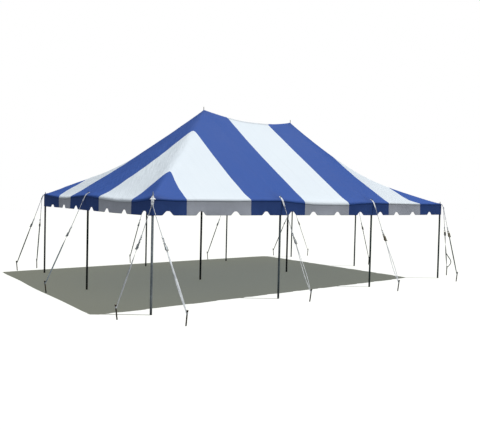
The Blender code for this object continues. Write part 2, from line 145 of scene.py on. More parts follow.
def dress(tree, shader, colour, rough=None, relief=None, strength=0.0, distance=0.0):
    """Gives a shader its colour and, where they vary over the piece, its roughness and its relief."""
    tree.links.new(colour, shader.inputs["Base Color"])
    if rough is not None:
        tree.links.new(rough, shader.inputs["Roughness"])
    if relief is not None:
        bump = add_node(tree, "Bump", {"Height": relief, "Strength": strength, "Distance": distance})
        tree.links.new(bump.outputs[0], shader.inputs["Normal"])


def galvanising(name, dull, bright):
    """Hot-dip zinc gone dull: crystals about 25 mm across, streaks down the tube and mud at the foot."""
    material, tree, shader = new_material(name, 0.55, 0.5)
    place = add_node(tree, "TexCoord").outputs["Object"]
    height = add_node(tree, "SeparateXYZ", {0: place}).outputs["Z"]
    cells = add_node(tree, "TexVoronoi", {"Vector": place, "Scale": 1 / SPANGLE})
    spangle = add_node(tree, "RGBToBW", {0: cells.outputs["Color"]})
    stretch = add_node(tree, "Mapping", {"Vector": place, "Scale": (60.0, 60.0, 2.2)})
    streaks = add_node(tree, "TexNoise", {"Vector": stretch.outputs[0], "Scale": 1.0, "Detail": 5.0})
    cloudy = add_node(tree, "TexNoise", {"Vector": place, "Scale": 3.0, "Detail": 3.0})
    zinc = add_node(tree, "ValToRGB", {0: streaks.outputs["Fac"]}, ((0.3, dull), (0.75, bright)))
    over_zinc = {0: 0.22, 6: zinc.outputs[0], 7: spangle.outputs[0]}
    crystals = add_node(tree, "Mix", over_zinc, data_type="RGBA", blend_type="OVERLAY")
    mud_height = add_node(tree, "MapRange", {0: height, 1: 0.02, 2: MUD_TOP, 3: 0.75, 4: 0.0})
    mud_patch = add_node(tree, "MapRange", {0: cloudy.outputs["Fac"], 1: 0.35, 2: 0.6})
    mud = add_node(tree, "Math", {0: mud_height.outputs[0], 1: mud_patch.outputs[0]}, operation="MULTIPLY")
    muddy = {0: mud.outputs[0], 6: crystals.outputs[2], 7: linear("#4B4335")}
    dirty = add_node(tree, "Mix", muddy, data_type="RGBA")
    rough = add_node(tree, "MapRange", {0: streaks.outputs["Fac"], 1: 0.3, 2: 0.7, 3: 0.42, 4: 0.66})
    dress(tree, shader, dirty.outputs[2], rough.outputs[0], streaks.outputs["Fac"], 0.25, 0.002)
    return material


def finish_mesh(name, points, faces, sharp=35):
    """A mesh from points and faces, turned outwards and shaded smooth except over sharp edges."""
    mesh = bpy.data.meshes.new(name)
    mesh.from_pydata(points, [], faces)
    bm = bmesh.new()
    bm.from_mesh(mesh)
    bmesh.ops.recalc_face_normals(bm, faces=bm.faces)
    bm.to_mesh(mesh)
    bm.free()
    mesh.shade_smooth()
    mesh.set_sharp_from_angle(angle=radians(sharp))
    return mesh


def turned_mesh(name, profile, foot, lean=(0.0, 0.0), sides=ROUND_SIDES, wobble=0.0):
    """A solid turned about an upright or leaning line, through radius and height pairs from end to end."""
    points, faces, rings = [], [], []
    for radius, height in profile:
        middle = Vector((foot[0] + lean[0] * height, foot[1] + lean[1] * height, height))
        if radius == 0:
            rings.append([len(points)])
            points.append(middle)
            continue
        rings.append(list(range(len(points), len(points) + sides)))
        for side in range(sides):
            turn = 2 * pi * side / sides
            away = Vector((cos(turn), sin(turn), 0))
            points.append(middle + away * (radius + wobble * noise.noise((middle + away * radius) * 90)))
    for ring, following in zip(rings[:-1], rings[1:]):
        for side in range(sides):
            beside = (side + 1) % sides
            if len(ring) == 1:
                faces.append((ring[0], following[side], following[beside]))
            elif len(following) == 1:
                faces.append((ring[side], ring[beside], following[0]))
            else:
                faces.append((ring[side], ring[beside], following[beside], following[side]))
    return finish_mesh(name, points, faces)


def add_object(name, data):
    """An object in the scene, at the origin."""
    made = bpy.data.objects.new(name, data)
    bpy.context.scene.collection.objects.link(made)
    return made


def put_up(name, mesh, materials, slot, *nodes, matrix=None):
    """One piece of the tent, in place of the CAD nodes named."""
    piece = add_object(name, mesh)
    if matrix is not None:
        piece.matrix_world = matrix
    if not mesh.materials:
        for material in materials:
            mesh.materials.append(material)
    if nodes:
        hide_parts(*nodes)
    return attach(piece, "root")


def tube_profile(radius, tip, shoulder):
    """From a plug inside the foot, round the tube's cut end, up to the shoulder, its weld and the pin."""
    bore = radius - TUBE_WALL
    rim = 0.0006
    bore_depth = 0.12
    pin_end = [(PIN_RADIUS * cos(a), tip - PIN_RADIUS * (1 - sin(a))) for a in (0.0, 0.5, 1.0, 1.35)]
    return [
        (0.0, bore_depth),
        (bore, bore_depth),
        (bore, rim),
        (bore + rim, 0.0),
        (radius - rim, 0.0),
        (radius, rim),
        (radius, shoulder - 0.003),
        (radius - 0.001, shoulder - 0.0008),
        (radius - 0.003, shoulder),
        (PIN_RADIUS + WELD, shoulder + 0.0005),
        (PIN_RADIUS + WELD * 0.4, shoulder + WELD * 0.4),
        (PIN_RADIUS, shoulder + WELD),
        *pin_end,
        (0.0, tip),
    ]


# The palest zinc is painted light and the darkest is painted shade; the other two are the weathered and worn
# zinc.
darkest_zinc_painted_shade = galvanising("galvanised_steel_painted_shade", "#161B18", "#474F4B")
weathered = galvanising("weathered_galvanised_steel", "#24332F", "#6A8079")
worn = galvanising("worn_galvanised_steel", "#445257", "#98A6AA")
palest_zinc_painted_light = galvanising("galvanised_steel_painted_light", "#7A868E", "#BFC9CC")
POLE_FINISHES = {
    "corner_pole_front_left": palest_zinc_painted_light,
    "side_pole_front_a": worn,
    "corner_pole_back_left": darkest_zinc_painted_shade,
    "side_pole_left": darkest_zinc_painted_shade,
    "centre_pole_left": darkest_zinc_painted_shade,
    "centre_pole_right": darkest_zinc_painted_shade,
}
for node in [name for name in frame["nodes"] if "pole" in name]:
    low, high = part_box(node)
    foot = ((low.x + high.x) / 2, (low.y + high.y) / 2)
    shoulder = high.z - SHOULDER_BELOW_TIP + SHOULDER_RISE.get(node, 0.0)
    tube = turned_mesh("tube_" + node, tube_profile((high.x - low.x) / 2, high.z, shoulder), foot)
    put_up("tube_" + node, tube, [POLE_FINISHES.get(node, weathered)], "galvanised_steel", node)

# The striped top
# One continuous sheet of blue and white laminated vinyl, a woven polyester scrim between two skins, with its
# panels welded edge over edge. It is stretched over the pins, rounds over at the hips and rolls over at the
# eave. Tables along an eave give the place in bays from its left or front end, and a value in metres.
FABRIC_EDGE = 0.06
HALF_LENGTH = 1.5 * BAY + FABRIC_EDGE
HALF_WIDTH = BAY + FABRIC_EDGE
RUN = BAY + FABRIC_EDGE
EAVE_HEIGHT = 2.09
PEAK_RISE = 2.32
EAVE_LEVELS = {
    "front": [(0.0, 2.078), (0.15, 2.067), (0.3, 2.072), (0.6, 2.083), (0.85, 2.1), (1.0, 2.106)]
    + [(1.12, 2.078), (1.3, 2.046), (1.5, 2.045), (1.68, 2.048), (1.85, 2.086), (2.0, 2.103)]
    + [(2.3, 2.098), (2.6, 2.098), (3.0, 2.113)],
    "back": [(0.0, 2.135), (0.5, 2.075), (1.0, 2.105), (1.5, 2.06), (2.0, 2.105), (2.5, 2.075), (3.0, 2.1)],
    "left": [(0.0, 2.078), (0.2, 2.024), (0.46, 2.025), (0.7, 2.062), (0.88, 2.1), (1.0, 2.115), (1.2, 2.095)]
    + [(1.4, 2.046), (1.55, 2.046), (1.8, 2.09), (2.0, 2.135)],
    "right": [(0.0, 2.113), (0.5, 2.08), (1.0, 2.108), (1.5, 2.07), (2.0, 2.1)],
}
# Each hip's slack, the power that shapes its sag, and how far it wavers.
HIP_SAG = {
    "front_left": (0.2, 2.2, 0.0),
    "front_right": (1.145, 2.51, 0.022),
    "back_left": (0.7, 2.7, 0.03),
    "back_right": (1.3, 2.2, 0.0),
}
RIDGE_SAG = 0.158
RIDGE_ROUNDNESS = {"left": 1.9, "right": 2.54}
CREST_SPREAD = 0.7
END_BELLY = 0.06
# White stripes: where each corner's begin and end, in feet from the corner, and the middle one's two edges.
CORNER_WHITE = {
    "front_left": (2.4, 7.5),
    "front_right": (3.1, 7.5),
    "back_left": (3.6, 6.5),
    "back_right": (3.6, 6.5),
}
MIDDLE_WHITE = (12.4 * FOOT - 1.5 * BAY, 17.3 * FOOT - 1.5 * BAY)
CLOTH = 0.0015
CELL = 0.05
EAVE_LINES = (0.0, 0.0012, 0.0045, 0.0095, 0.016, 0.024, 0.035, 0.05, 0.06, 0.08, 0.105)
LAP = 0.024
LAP_STANDS_OFF = 0.0024


def pole_to_pole(bays, at_poles, halfway):
    """A table with one value at each pole and another halfway between them."""
    return [(step / 2, halfway if step % 2 else at_poles) for step in range(2 * bays + 1)]


# How far in from the edge the cloth turns down, and how far it swells out there.
EAVE_ROLLS = {
    "front": [(0.0, 0.02), (0.9, 0.025), (1.2, 0.06), (1.5, 0.08), (1.75, 0.06), (2.1, 0.03), (3.0, 0.02)],
    "back": pole_to_pole(3, 0.02, 0.04),
    "left": [(0.0, 0.02), (0.3, 0.05), (0.7, 0.05), (1.0, 0.03), (1.5, 0.04), (2.0, 0.02)],
    "right": pole_to_pole(2, 0.02, 0.04),
}
EAVE_BULGES = {
    "front": [(0.0, 0.008), (0.3, 0.016), (0.7, 0.016), (1.0, 0.015), (1.25, 0.04), (1.7, 0.04), (2.0, 0.015)]
    + [(3.0, 0.015)],
    "back": pole_to_pole(3, 0.015, 0.03),
    "left": [(0.0, 0.015), (0.3, 0.035), (0.7, 0.035), (1.0, 0.015), (1.5, 0.035), (2.0, 0.015)],
    "right": pole_to_pole(2, 0.015, 0.03),
}
FLARE_REACH = 0.3
HIP_SOFT = {"front_left": 0.24, "front_right": 0.15, "back_left": 0.15, "back_right": 0.15}
HIP_TURN = 0.06
CORNER_TUCK = 0.034
TUCK_REACH = 0.35
POLE_BUMP = 0.01
BUMP_WIDTH = 0.055
# The slack end slopes pucker this many times deeper than the taut cloth creases.
PUCKERS = 8.0
GRAIN = 0.014
LAP_HALF = 0.02
# How strongly grime covers the cloth at each place, as a share. The last three are painted shade on the
# white: along the ridge and hips, towards the back of the left end, and near the front right corner.
EAVE_SOIL = 0.05
PIN_SOIL = 0.28
CREST_PAINTED_SHADE = 0.7
LEFT_END_PAINTED_SHADE = 0.3
FRONT_RIGHT_PAINTED_SHADE = 0.17
# Where each joint of the stripes runs: its even place, then its feet along the eave at shares of the way up.
JOINT_RUNS = {
    "front": {
        2.4: ((0.0, 2.2), (0.4, 2.21), (0.67, 2.32), (0.8, 2.43), (1.0, 2.6)),
        7.5: ((0.0, 7.2), (0.08, 7.08), (0.3, 7.04), (0.6, 7.11), (0.83, 7.22), (1.0, 7.33)),
        10.0: ((0.0, 9.8), (1.0, 10.0)),
        12.4: ((0.0, 12.22), (0.06, 12.33), (0.3, 12.25), (0.5, 12.18), (0.73, 12.28), (1.0, 12.5)),
        17.3: ((0.0, 17.0), (0.5, 16.96), (1.0, 17.08)),
        20.0: ((0.0, 19.7), (1.0, 20.0)),
        22.5: ((0.0, 22.0), (0.25, 21.8), (0.4, 21.68), (0.56, 21.81), (0.78, 22.26), (1.0, 22.8)),
        26.9: ((0.0, 26.5), (0.15, 25.8), (0.3, 25.75), (0.5, 26.0), (1.0, 26.5)),
    },
    "back": {3.6: ((0.0, 3.4), (1.0, 3.0)), 6.5: ((0.0, 6.4), (1.0, 6.2)), 10.0: ((0.0, 10.0),)},
    "left": {
        2.4: ((0.0, 2.42), (0.5, 2.56), (1.0, 2.6)),
        7.5: ((0.0, 7.52), (0.13, 7.41), (0.5, 7.24), (1.0, 7.33)),
        10.0: ((0.0, 10.0),),
        13.5: ((0.0, 13.1), (0.08, 13.45), (0.3, 13.7), (1.0, 13.8)),
        16.4: ((0.0, 15.8), (0.1, 16.5), (0.3, 16.9), (1.0, 17.0)),
    },
    "right": {3.1: ((0.0, 3.3), (1.0, 3.5)), 7.5: ((0.0, 7.4), (1.0, 7.2)), 10.0: ((0.0, 10.0),)},
}
PINS = [*CORNERS.values()] + [place for place, _ in SIDES.values()]


def corner_of(x, y):
    """The corner that a point is nearest to."""
    return ("front" if y < 0 else "back") + ("_left" if x < 0 else "_right")


def from_eaves(x, y):
    """How far a point lies in from the end's eave, and from the long side's."""
    return HALF_LENGTH - abs(x), HALF_WIDTH - abs(y)


def clamped(share):
    """A share held between 0 and 1."""
    return min(max(share, 0.0), 1.0)


def between(table, at):
    """A value read off a table of places and values, straight between its rows."""
    for (place, value), (following, next_value) in zip(table[:-1], table[1:]):
        if at < following:
            return value + (next_value - value) * clamped((at - place) / (following - place))
    return table[-1][1]


def slope_at(x, y):
    """The side a point's slope faces, its place along that eave, and how far it is from eave and crest."""
    from_end, from_side = from_eaves(x, y)
    if from_side > from_end:
        return ("left" if x < 0 else "right"), y + BAY, max(from_end, 0.0), max(from_side, 1e-6)
    reach = max(min(from_end, RUN), 1e-6)
    return ("front" if y < 0 else "back"), x + 1.5 * BAY, max(from_side, 0.0), reach


def crest_drop(side, place, corner_distance):
    """How far the ridge or a hip hangs under a straight line, at a place across a slope."""
    half = "left" if place < 0 else "right"
    if side in ("front", "back") and corner_distance > RUN:
        return RIDGE_SAG * (1 - min(abs(place) / (BAY / 2), 1.0) ** RIDGE_ROUNDNESS[half])
    corner = side + "_" + half if side in ("front", "back") else ("front_" if place < 0 else "back_") + side
    slack, curve, waver = HIP_SAG[corner]
    share = clamped(corner_distance / RUN)
    return slack * (share - share**curve) - waver * sin(3 * pi * share)


def roof_height(x, y):
    """The taut roof: the crests' sag fades down the slope and spreads sideways, and the ends belly in."""
    side, along, run, reach = slope_at(x, y)
    up = min(run / reach, 1.0)
    place, half = (x, HALF_LENGTH) if side in ("front", "back") else (y, HALF_WIDTH)
    spread = CREST_SPREAD * (1 - up)
    spots = [place + spread * step / 4 for step in range(-4, 5)]
    drop = sum(crest_drop(side, spot, half - abs(spot)) for spot in spots) / len(spots)
    belly = END_BELLY * reach / RUN * 4 * up * (1 - up) if side in ("left", "right") else 0.0
    level = between(EAVE_LEVELS[side], along / BAY)
    return level * (1 - up) + EAVE_HEIGHT * up + PEAK_RISE * run / RUN - drop * up - belly


def hip_rounding(x, y, soft):
    """How far the cloth pulls in over a hip, where it takes the short way round."""
    from_end, from_side = from_eaves(x, y)
    share = min(min(from_end, from_side) / RUN, 1.0)
    width = soft * sqrt(max(4 * share * (1 - share), 0.0))
    if width < 1e-4 or from_end > RUN:
        return 0.0
    return width / 4 * max(1 - abs(from_end - from_side) / width, 0.0) ** 2


def pull_wrinkles(x, y):
    """Creases that fan out from each pin, deepest a little way off it, where the cloth is pulled hardest."""
    rise = 0.0
    for order, (pin_x, pin_y) in enumerate(PINS + [*CENTRES.values()]):
        reach = sqrt((x - pin_x) ** 2 + (y - pin_y) ** 2)
        if reach > 1.5:
            continue
        turn = atan2(y - pin_y, x - pin_x)
        deepest = 0.3 if order < len(PINS) else 0.45
        near = reach / deepest * exp(1 - reach / deepest)
        fan = sin(9 * turn + 2.1 * order + 1.3 * noise.noise((x * 2, y * 2, order)))
        rise += 0.0028 * near * fan
    return rise


def loose_cloth(x, y):
    """Slow waves where the cloth is slack, and finer ones across the end slopes."""
    from_end, from_side = from_eaves(x, y)
    depth = min(from_end, from_side, 0.6) / 0.6
    waves = 0.009 * noise.noise((x * 0.9, y * 0.9, 3.0))
    if from_end >= from_side:
        return depth * (waves + 0.002 * noise.noise((x * 4, y * 2, 5.0)))
    slant = x * 1.4 + abs(y) * 3.2
    ripples = 0.016 * noise.noise((slant, abs(y) * 0.8 - x * 1.6, 8.0))
    ripples += 0.007 * noise.noise((slant * 2.3, x * 3, 2.0))
    return depth * (waves + ripples)


def cloth_height(x, y):
    """The top's upper face: the roof, flared and rolled over at the eave, and raised a little at the pins."""
    edge = max(min(from_eaves(x, y)), 0.0)
    side, along, _, _ = slope_at(x, y)
    bulge, roll = (between(table[side], along / BAY) for table in (EAVE_BULGES, EAVE_ROLLS))
    flare = bulge * max(1 - edge / FLARE_REACH, 0.0) ** 2
    turn_down = bulge * (1 - sqrt(1 - max(1 - edge / roll, 0.0) ** 2))
    bump = POLE_BUMP * sum(exp(-((x - px) ** 2 + (y - py) ** 2) / BUMP_WIDTH**2) for px, py in PINS)
    return roof_height(x, y) + flare - turn_down + bump * min(edge / 0.05, 1.0)


def joint_shift(side, along, up):
    """How far along its side the cloth lies from an even layout's place, at a share of the way up."""
    runs = JOINT_RUNS[side]
    length = 30.0 if side in ("front", "back") else 20.0
    shifts = [(0.0, 0.0)] + [(even, between(run, up) - even) for even, run in runs.items()]
    return between(shifts + [(length, 0.0)], along / FOOT) * FOOT


def lay_cloth(x, y):
    """Where a point of the evenly laid out top hangs in plan, its joints and hips moved to their places."""
    side, along, run, reach = slope_at(x, y)
    up = min(run / reach, 1.0)
    shift = joint_shift(side, along, up)
    inward_x, inward_y = (-1 if x > 0 else 1), (-1 if y > 0 else 1)
    rounding = hip_rounding(x, y, HIP_TURN)
    if side in ("left", "right"):
        x, y = x + shift * inward_y * up * inward_x, y + shift
    elif HALF_LENGTH - abs(x) > RUN:
        x += shift
    else:
        x, y = x + shift, y + shift * inward_x * up * inward_y
    return x - inward_x * rounding, y - inward_y * rounding


def tuck_corner(x, y):
    """The overhang past the pins is drawn in near the corners."""
    from_end, from_side = from_eaves(x, y)
    near_x = exp(-((from_side / TUCK_REACH) ** 2)) * clamped(1 - from_end / FABRIC_EDGE) * CORNER_TUCK
    near_y = exp(-((from_end / TUCK_REACH) ** 2)) * clamped(1 - from_side / FABRIC_EDGE) * CORNER_TUCK
    return x - near_x * (1 if x > 0 else -1), y - near_y * (1 if y > 0 else -1)


def is_white(x, y):
    """Stripes run up each slope from its eave, and meet at the hips."""
    from_end, from_side = from_eaves(x, y)
    if from_side <= from_end and from_end > RUN:
        return MIDDLE_WHITE[0] < x < MIDDLE_WHITE[1]
    outer, inner = CORNER_WHITE[corner_of(x, y)]
    return outer * FOOT < max(from_end, from_side) - FABRIC_EDGE < inner * FOOT


def joint_distance(x, y):
    """Signed distance along the eave to the nearest stripe joint."""
    from_end, from_side = from_eaves(x, y)
    if from_side <= from_end and from_end > RUN:
        offsets = [x - joint for joint in MIDDLE_WHITE]
    else:
        station = max(from_end, from_side) - FABRIC_EDGE
        offsets = [station - joint * FOOT for joint in CORNER_WHITE[corner_of(x, y)]]
    return min(offsets, key=abs)


def laminated_vinyl(name, face, chalk, grime):
    """Vinyl skins on scrim: satin, chalked by the sun in patches, streaked down the slope, its laps paler.
    Grime and painted shade from its grime and shade attribute darken it.

    The end slopes are slack, and pucker in short slanting creases. The scrim's real threads are 1 mm apart,
    and its grain is drawn 14 mm coarse, or it wouldn't show.
    """
    material, tree, shader = new_material(name, 0.0, 0.6, IOR=1.5, Specular_IOR_Level=0.08)
    place = add_node(tree, "TexCoord").outputs["Object"]
    parts = add_node(tree, "SeparateXYZ", {0: place})
    facing = add_node(tree, "SeparateXYZ", {0: add_node(tree, "NewGeometry").outputs["True Normal"]})
    tilts = [add_node(tree, "Math", {0: facing.outputs[axis]}, operation="ABSOLUTE") for axis in "XY"]
    ends = {0: tilts[0].outputs[0], 1: tilts[1].outputs[0]}
    on_end = add_node(tree, "Math", ends, operation="GREATER_THAN").outputs[0]
    along = add_node(tree, "Mix", {0: on_end, 2: parts.outputs["X"], 3: parts.outputs["Y"]}).outputs[0]
    slope = add_node(tree, "CombineXYZ", {"X": along, "Y": parts.outputs["Z"], "Z": on_end}).outputs[0]
    run_off = add_node(tree, "Mapping", {"Vector": slope, "Scale": (9.0, 0.6, 1.0)}).outputs[0]
    streaks = add_node(tree, "TexNoise", {"Vector": run_off, "Scale": 1.0, "Detail": 6.0, "Roughness": 0.6})
    patches = add_node(tree, "TexNoise", {"Vector": place, "Scale": 1.3, "Detail": 4.0})
    specks = add_node(tree, "TexNoise", {"Vector": place, "Scale": 26.0, "Detail": 3.0})
    chalked = add_node(tree, "MapRange", {0: patches.outputs["Fac"], 1: 0.35, 2: 0.72, 3: 0.0, 4: 0.18})
    run = add_node(tree, "MapRange", {0: streaks.outputs["Fac"], 1: 0.52, 2: 0.8, 3: 0.0, 4: 0.07})
    # The grime and shade attribute carries real grime and painted shade.
    grime_and_shade = add_node(tree, "Attribute", attribute_name="grime_and_shade").outputs["Fac"]
    broken = add_node(tree, "MapRange", {0: specks.outputs["Fac"], 1: 0.25, 2: 0.75, 3: 0.7, 4: 1.0})
    darkened = add_node(tree, "Math", {0: grime_and_shade, 1: broken.outputs[0]}, operation="MULTIPLY")
    joint = add_node(tree, "Attribute", attribute_name="joint").outputs["Fac"]
    gap = add_node(tree, "Math", {0: joint}, operation="ABSOLUTE").outputs[0]
    over_joint = {0: gap, 1: 0.7 * LAP_HALF, 2: LAP_HALF, 3: 1.0, 4: 0.0}
    lap = add_node(tree, "MapRange", over_joint, interpolation_type="SMOOTHSTEP").outputs[0]
    lap_tone = add_node(tree, "Math", {0: lap, 1: 0.22}, operation="MULTIPLY")
    skin = linear(face)
    for amount, tone in ((chalked, chalk), (run, grime), (darkened, grime), (lap_tone, chalk)):
        laid_over = {0: amount.outputs[0], 6: skin, 7: linear(tone)}
        skin = add_node(tree, "Mix", laid_over, data_type="RGBA").outputs[2]
    rough = add_node(tree, "MapRange", {0: patches.outputs["Fac"], 1: 0.3, 2: 0.7, 3: 0.46, 4: 0.6})
    grain = add_node(tree, "TexVoronoi", {"Vector": place, "Scale": 1 / GRAIN}).outputs["Distance"]
    creases = add_node(tree, "TexNoise", {"Vector": place, "Scale": 6.0, "Detail": 2.0, "Distortion": 0.6})
    over = add_node(tree, "VectorMath", {0: place, 1: (15.0, -11.6, 0.0)}, operation="DOT_PRODUCT")
    down = add_node(tree, "VectorMath", {0: place, 1: (1.2, 1.6, 1.5)}, operation="DOT_PRODUCT")
    slant = {"X": over.outputs["Value"], "Y": down.outputs["Value"]}
    slanted = add_node(tree, "CombineXYZ", slant).outputs[0]
    puckers = add_node(tree, "TexNoise", {"Vector": slanted, "Scale": 1.0, "Detail": 2.5, "Roughness": 0.6})
    slack = {0: patches.outputs["Fac"], 1: 0.4, 2: 0.62, 3: 0.25 * PUCKERS, 4: PUCKERS}
    slack_size = add_node(tree, "MapRange", slack).outputs[0]
    pucker_size = add_node(tree, "Math", {0: on_end, 1: slack_size}, operation="MULTIPLY").outputs[0]
    relief = creases.outputs["Fac"]
    for layer, size in ((grain, 0.12), (puckers.outputs["Fac"], pucker_size), (lap, 0.35)):
        relief = add_node(tree, "Math", {0: layer, 1: size, 2: relief}, operation="MULTIPLY_ADD").outputs[0]
    dress(tree, shader, skin, rough.outputs[0], relief, 0.35, 0.006)
    return material


def filled(lines, cell):
    """The lines, with more put in wherever two are further apart than a cell."""
    lines = sorted({round(line, 6) for line in lines})
    result = [lines[0]]
    for start, end in zip(lines[:-1], lines[1:]):
        pieces = max(round((end - start) / cell + 0.3), 1)
        result += [start + (end - start) * piece / pieces for piece in range(1, pieces + 1)]
    return result


def grime_and_shade_on_top(x, y, plan_x, plan_y):
    """Grime along the eave and round the pins, and painted shade on white along the ridge and hips, towards
    the back of the left end and near the front right corner.
    """
    from_end, from_side = from_eaves(x, y)
    edge = max(min(from_end, from_side), 0.0)
    near_pin = max(exp(-((x - px) ** 2 + (y - py) ** 2) / 0.16**2) for px, py in PINS + [*CENTRES.values()])
    grime = EAVE_SOIL * exp(-edge / 0.1) + PIN_SOIL * near_pin
    if not is_white(x, y):
        return grime
    side, _, run, reach = slope_at(plan_x, plan_y)
    corner = corner_of(x, y)
    # Painted shade on the white along the crests, towards the back of the left end and near the front right
    # corner.
    crest = 1.0 if corner == "front_left" and from_end <= RUN else reach - run
    crest_shade = CREST_PAINTED_SHADE * exp(-((crest / 0.055) ** 2))
    painted_shade = LEFT_END_PAINTED_SHADE * clamped((y - 0.5) / 1.2) if side == "left" else 0.0
    if corner == "front_right" and from_end < RUN:
        painted_shade = FRONT_RIGHT_PAINTED_SHADE
    return max(grime, crest_shade, painted_shade)


def top_mesh():
    """A grid with a line on each joint and a diagonal on each hip, hung as cloth, with a lap at the eave."""
    joints = {joint * FOOT + FABRIC_EDGE for pair in CORNER_WHITE.values() for joint in pair}
    corner = filled({*EAVE_LINES, *joints, RUN}, CELL)
    middle = filled({-BAY / 2, *MIDDLE_WHITE, BAY / 2}, CELL)[1:-1]
    x_lines = [-HALF_LENGTH + line for line in corner] + middle
    x_lines += [HALF_LENGTH - line for line in reversed(corner)]
    y_lines = [-HALF_WIDTH + line for line in corner] + [HALF_WIDTH - line for line in reversed(corner[:-1])]
    across = len(y_lines)
    bm = bmesh.new()
    layers = {name: bm.verts.layers.float.new(name) for name in ("joint", "grime_and_shade")}
    for x in x_lines:
        for y in y_lines:
            plan_x, plan_y = lay_cloth(x, y)
            edge = max(min(from_eaves(x, y)), 0.0)
            height = cloth_height(plan_x, plan_y) - 0.75 * hip_rounding(x, y, HIP_SOFT[corner_of(x, y)])
            if edge > 0.04:
                height += (pull_wrinkles(x, y) + loose_cloth(x, y)) * min((edge - 0.04) / 0.1, 1.0)
            vertex = bm.verts.new((*tuck_corner(plan_x, plan_y), height))
            vertex[layers["joint"]] = max(min(joint_distance(x, y), 0.3), -0.3)
            vertex[layers["grime_and_shade"]] = grime_and_shade_on_top(x, y, plan_x, plan_y)
    bm.verts.ensure_lookup_table()
    for column in range(len(x_lines) - 1):
        for row in range(across - 1):
            start = column * across + row
            ring = [bm.verts[index] for index in (start, start + across, start + across + 1, start + 1)]
            x = (x_lines[column] + x_lines[column + 1]) / 2
            y = (y_lines[row] + y_lines[row + 1]) / 2
            on_hip = abs(HALF_LENGTH - abs(x) - HALF_WIDTH + abs(y)) < 1e-5
            halves = [(0, 1, 2), (0, 2, 3)] if (x > 0) == (y > 0) else [(0, 1, 3), (1, 2, 3)]
            for outline in halves if on_hip else [(0, 1, 2, 3)]:
                face = bm.faces.new([ring[number] for number in outline])
                face.material_index = int(is_white(x, y))
    for drop, out in ((LAP * 0.4, LAP_STANDS_OFF), (LAP * 0.6, 0.0)):
        border = [edge for edge in bm.edges if edge.is_boundary]
        grown = bmesh.ops.extrude_edge_only(bm, edges=border)["geom"]
        for vertex in [item for item in grown if isinstance(item, bmesh.types.BMVert)]:
            out_x = out * (1 if vertex.co.x > 0 else -1) * (abs(vertex.co.x) > 1.5 * BAY + 0.02)
            out_y = out * (1 if vertex.co.y > 0 else -1) * (abs(vertex.co.y) > BAY + 0.02)
            vertex.co += Vector((out_x, out_y, -drop))
    for face in bm.faces:
        face.smooth = True
    bmesh.ops.recalc_face_normals(bm, faces=bm.faces)
    mesh = bpy.data.meshes.new("striped_top")
    bm.to_mesh(mesh)
    bm.free()
    return mesh


def thicken(piece):
    """Gives cloth its thickness, on the side away from its face."""
    shell = piece.modifiers.new("cloth", "SOLIDIFY")
    shell.thickness = CLOTH
    shell.offset = -1


blue_vinyl = laminated_vinyl("blue_laminated_vinyl", "#34559E", "#3F60A5", "#27335A")
white_vinyl = laminated_vinyl("white_laminated_vinyl", "#DBE4EB", "#E5EBEF", "#93979C")
top = put_up("striped_top", top_mesh(), [blue_vinyl, white_vinyl], "striped_vinyl", "canopy")
thicken(top)

# The valances
# A strip of the same vinyl hangs from each eave, about 295 mm deep, striped as the top is, its white painted
# darker as shade. Notches are cut up into its hem. It hangs in slight folds, and grime and painted shade
# darken it, most under the eave.
VALANCE_DROP = 0.295
HEM_LEVELS = {
    "front": [(0.0, 1.782), (1.0, 1.79), (2.0, 1.795), (2.5, 1.803), (3.0, 1.813)],
    "back": [(0.0, 1.812), (0.07, 1.856), (0.3, 1.845), (0.6, 1.83), (1.0, 1.812), (3.0, 1.8)],
    "left": [(0.0, 1.776), (0.5, 1.777), (1.0, 1.79), (1.5, 1.803), (2.0, 1.806)],
    "right": [(0.0, 1.828), (1.0, 1.82), (2.0, 1.8)],
}
NOTCHES = {
    "front": (0.94, 3.25, 5.93, 8.54, 10.95, 13.1, 15.67, 18.33, 20.9, 23.04, 25.4, 27.96),
    "back": (2.04, 4.6, 6.96, 9.1, 11.67, 14.33, 16.9, 19.05, 21.46, 24.07, 26.75, 29.06),
    "left": (0.75, 3.4, 6.04, 8.8, 11.9, 14.55, 17.3),
    "right": (1.2, 3.2, 5.0, 7.0, 9.6, 12.6, 15.4, 18.4),
}
NOTCH_RISE = 0.08
NOTCH_FLAT = 0.02
NOTCH_HALF = 0.125
VALANCE_GAP = 0.0006
VALANCE_CELL = 0.02
# Grime and painted shade on each valance: a little all over, and more under the eave.
VALANCE_GRIME_AND_SHADE = 0.06
UNDER_EAVE_GRIME_AND_SHADE = 0.14
VALANCE_ROWS = (0.0, 0.03, 0.07, 0.12, 0.2, 0.3, 0.4, 0.52, 0.64, 0.76, 0.86, 0.93, 0.97, 1.0)


def notch_rise(along, notches):
    """How far the hem is cut up at a distance along the eave: a bell with a flat crown."""
    offset = min(abs(along - notch * FOOT) for notch in notches)
    share = clamped((NOTCH_HALF - offset) / (NOTCH_HALF - NOTCH_FLAT))
    return NOTCH_RISE * share * share * (3 - 2 * share)


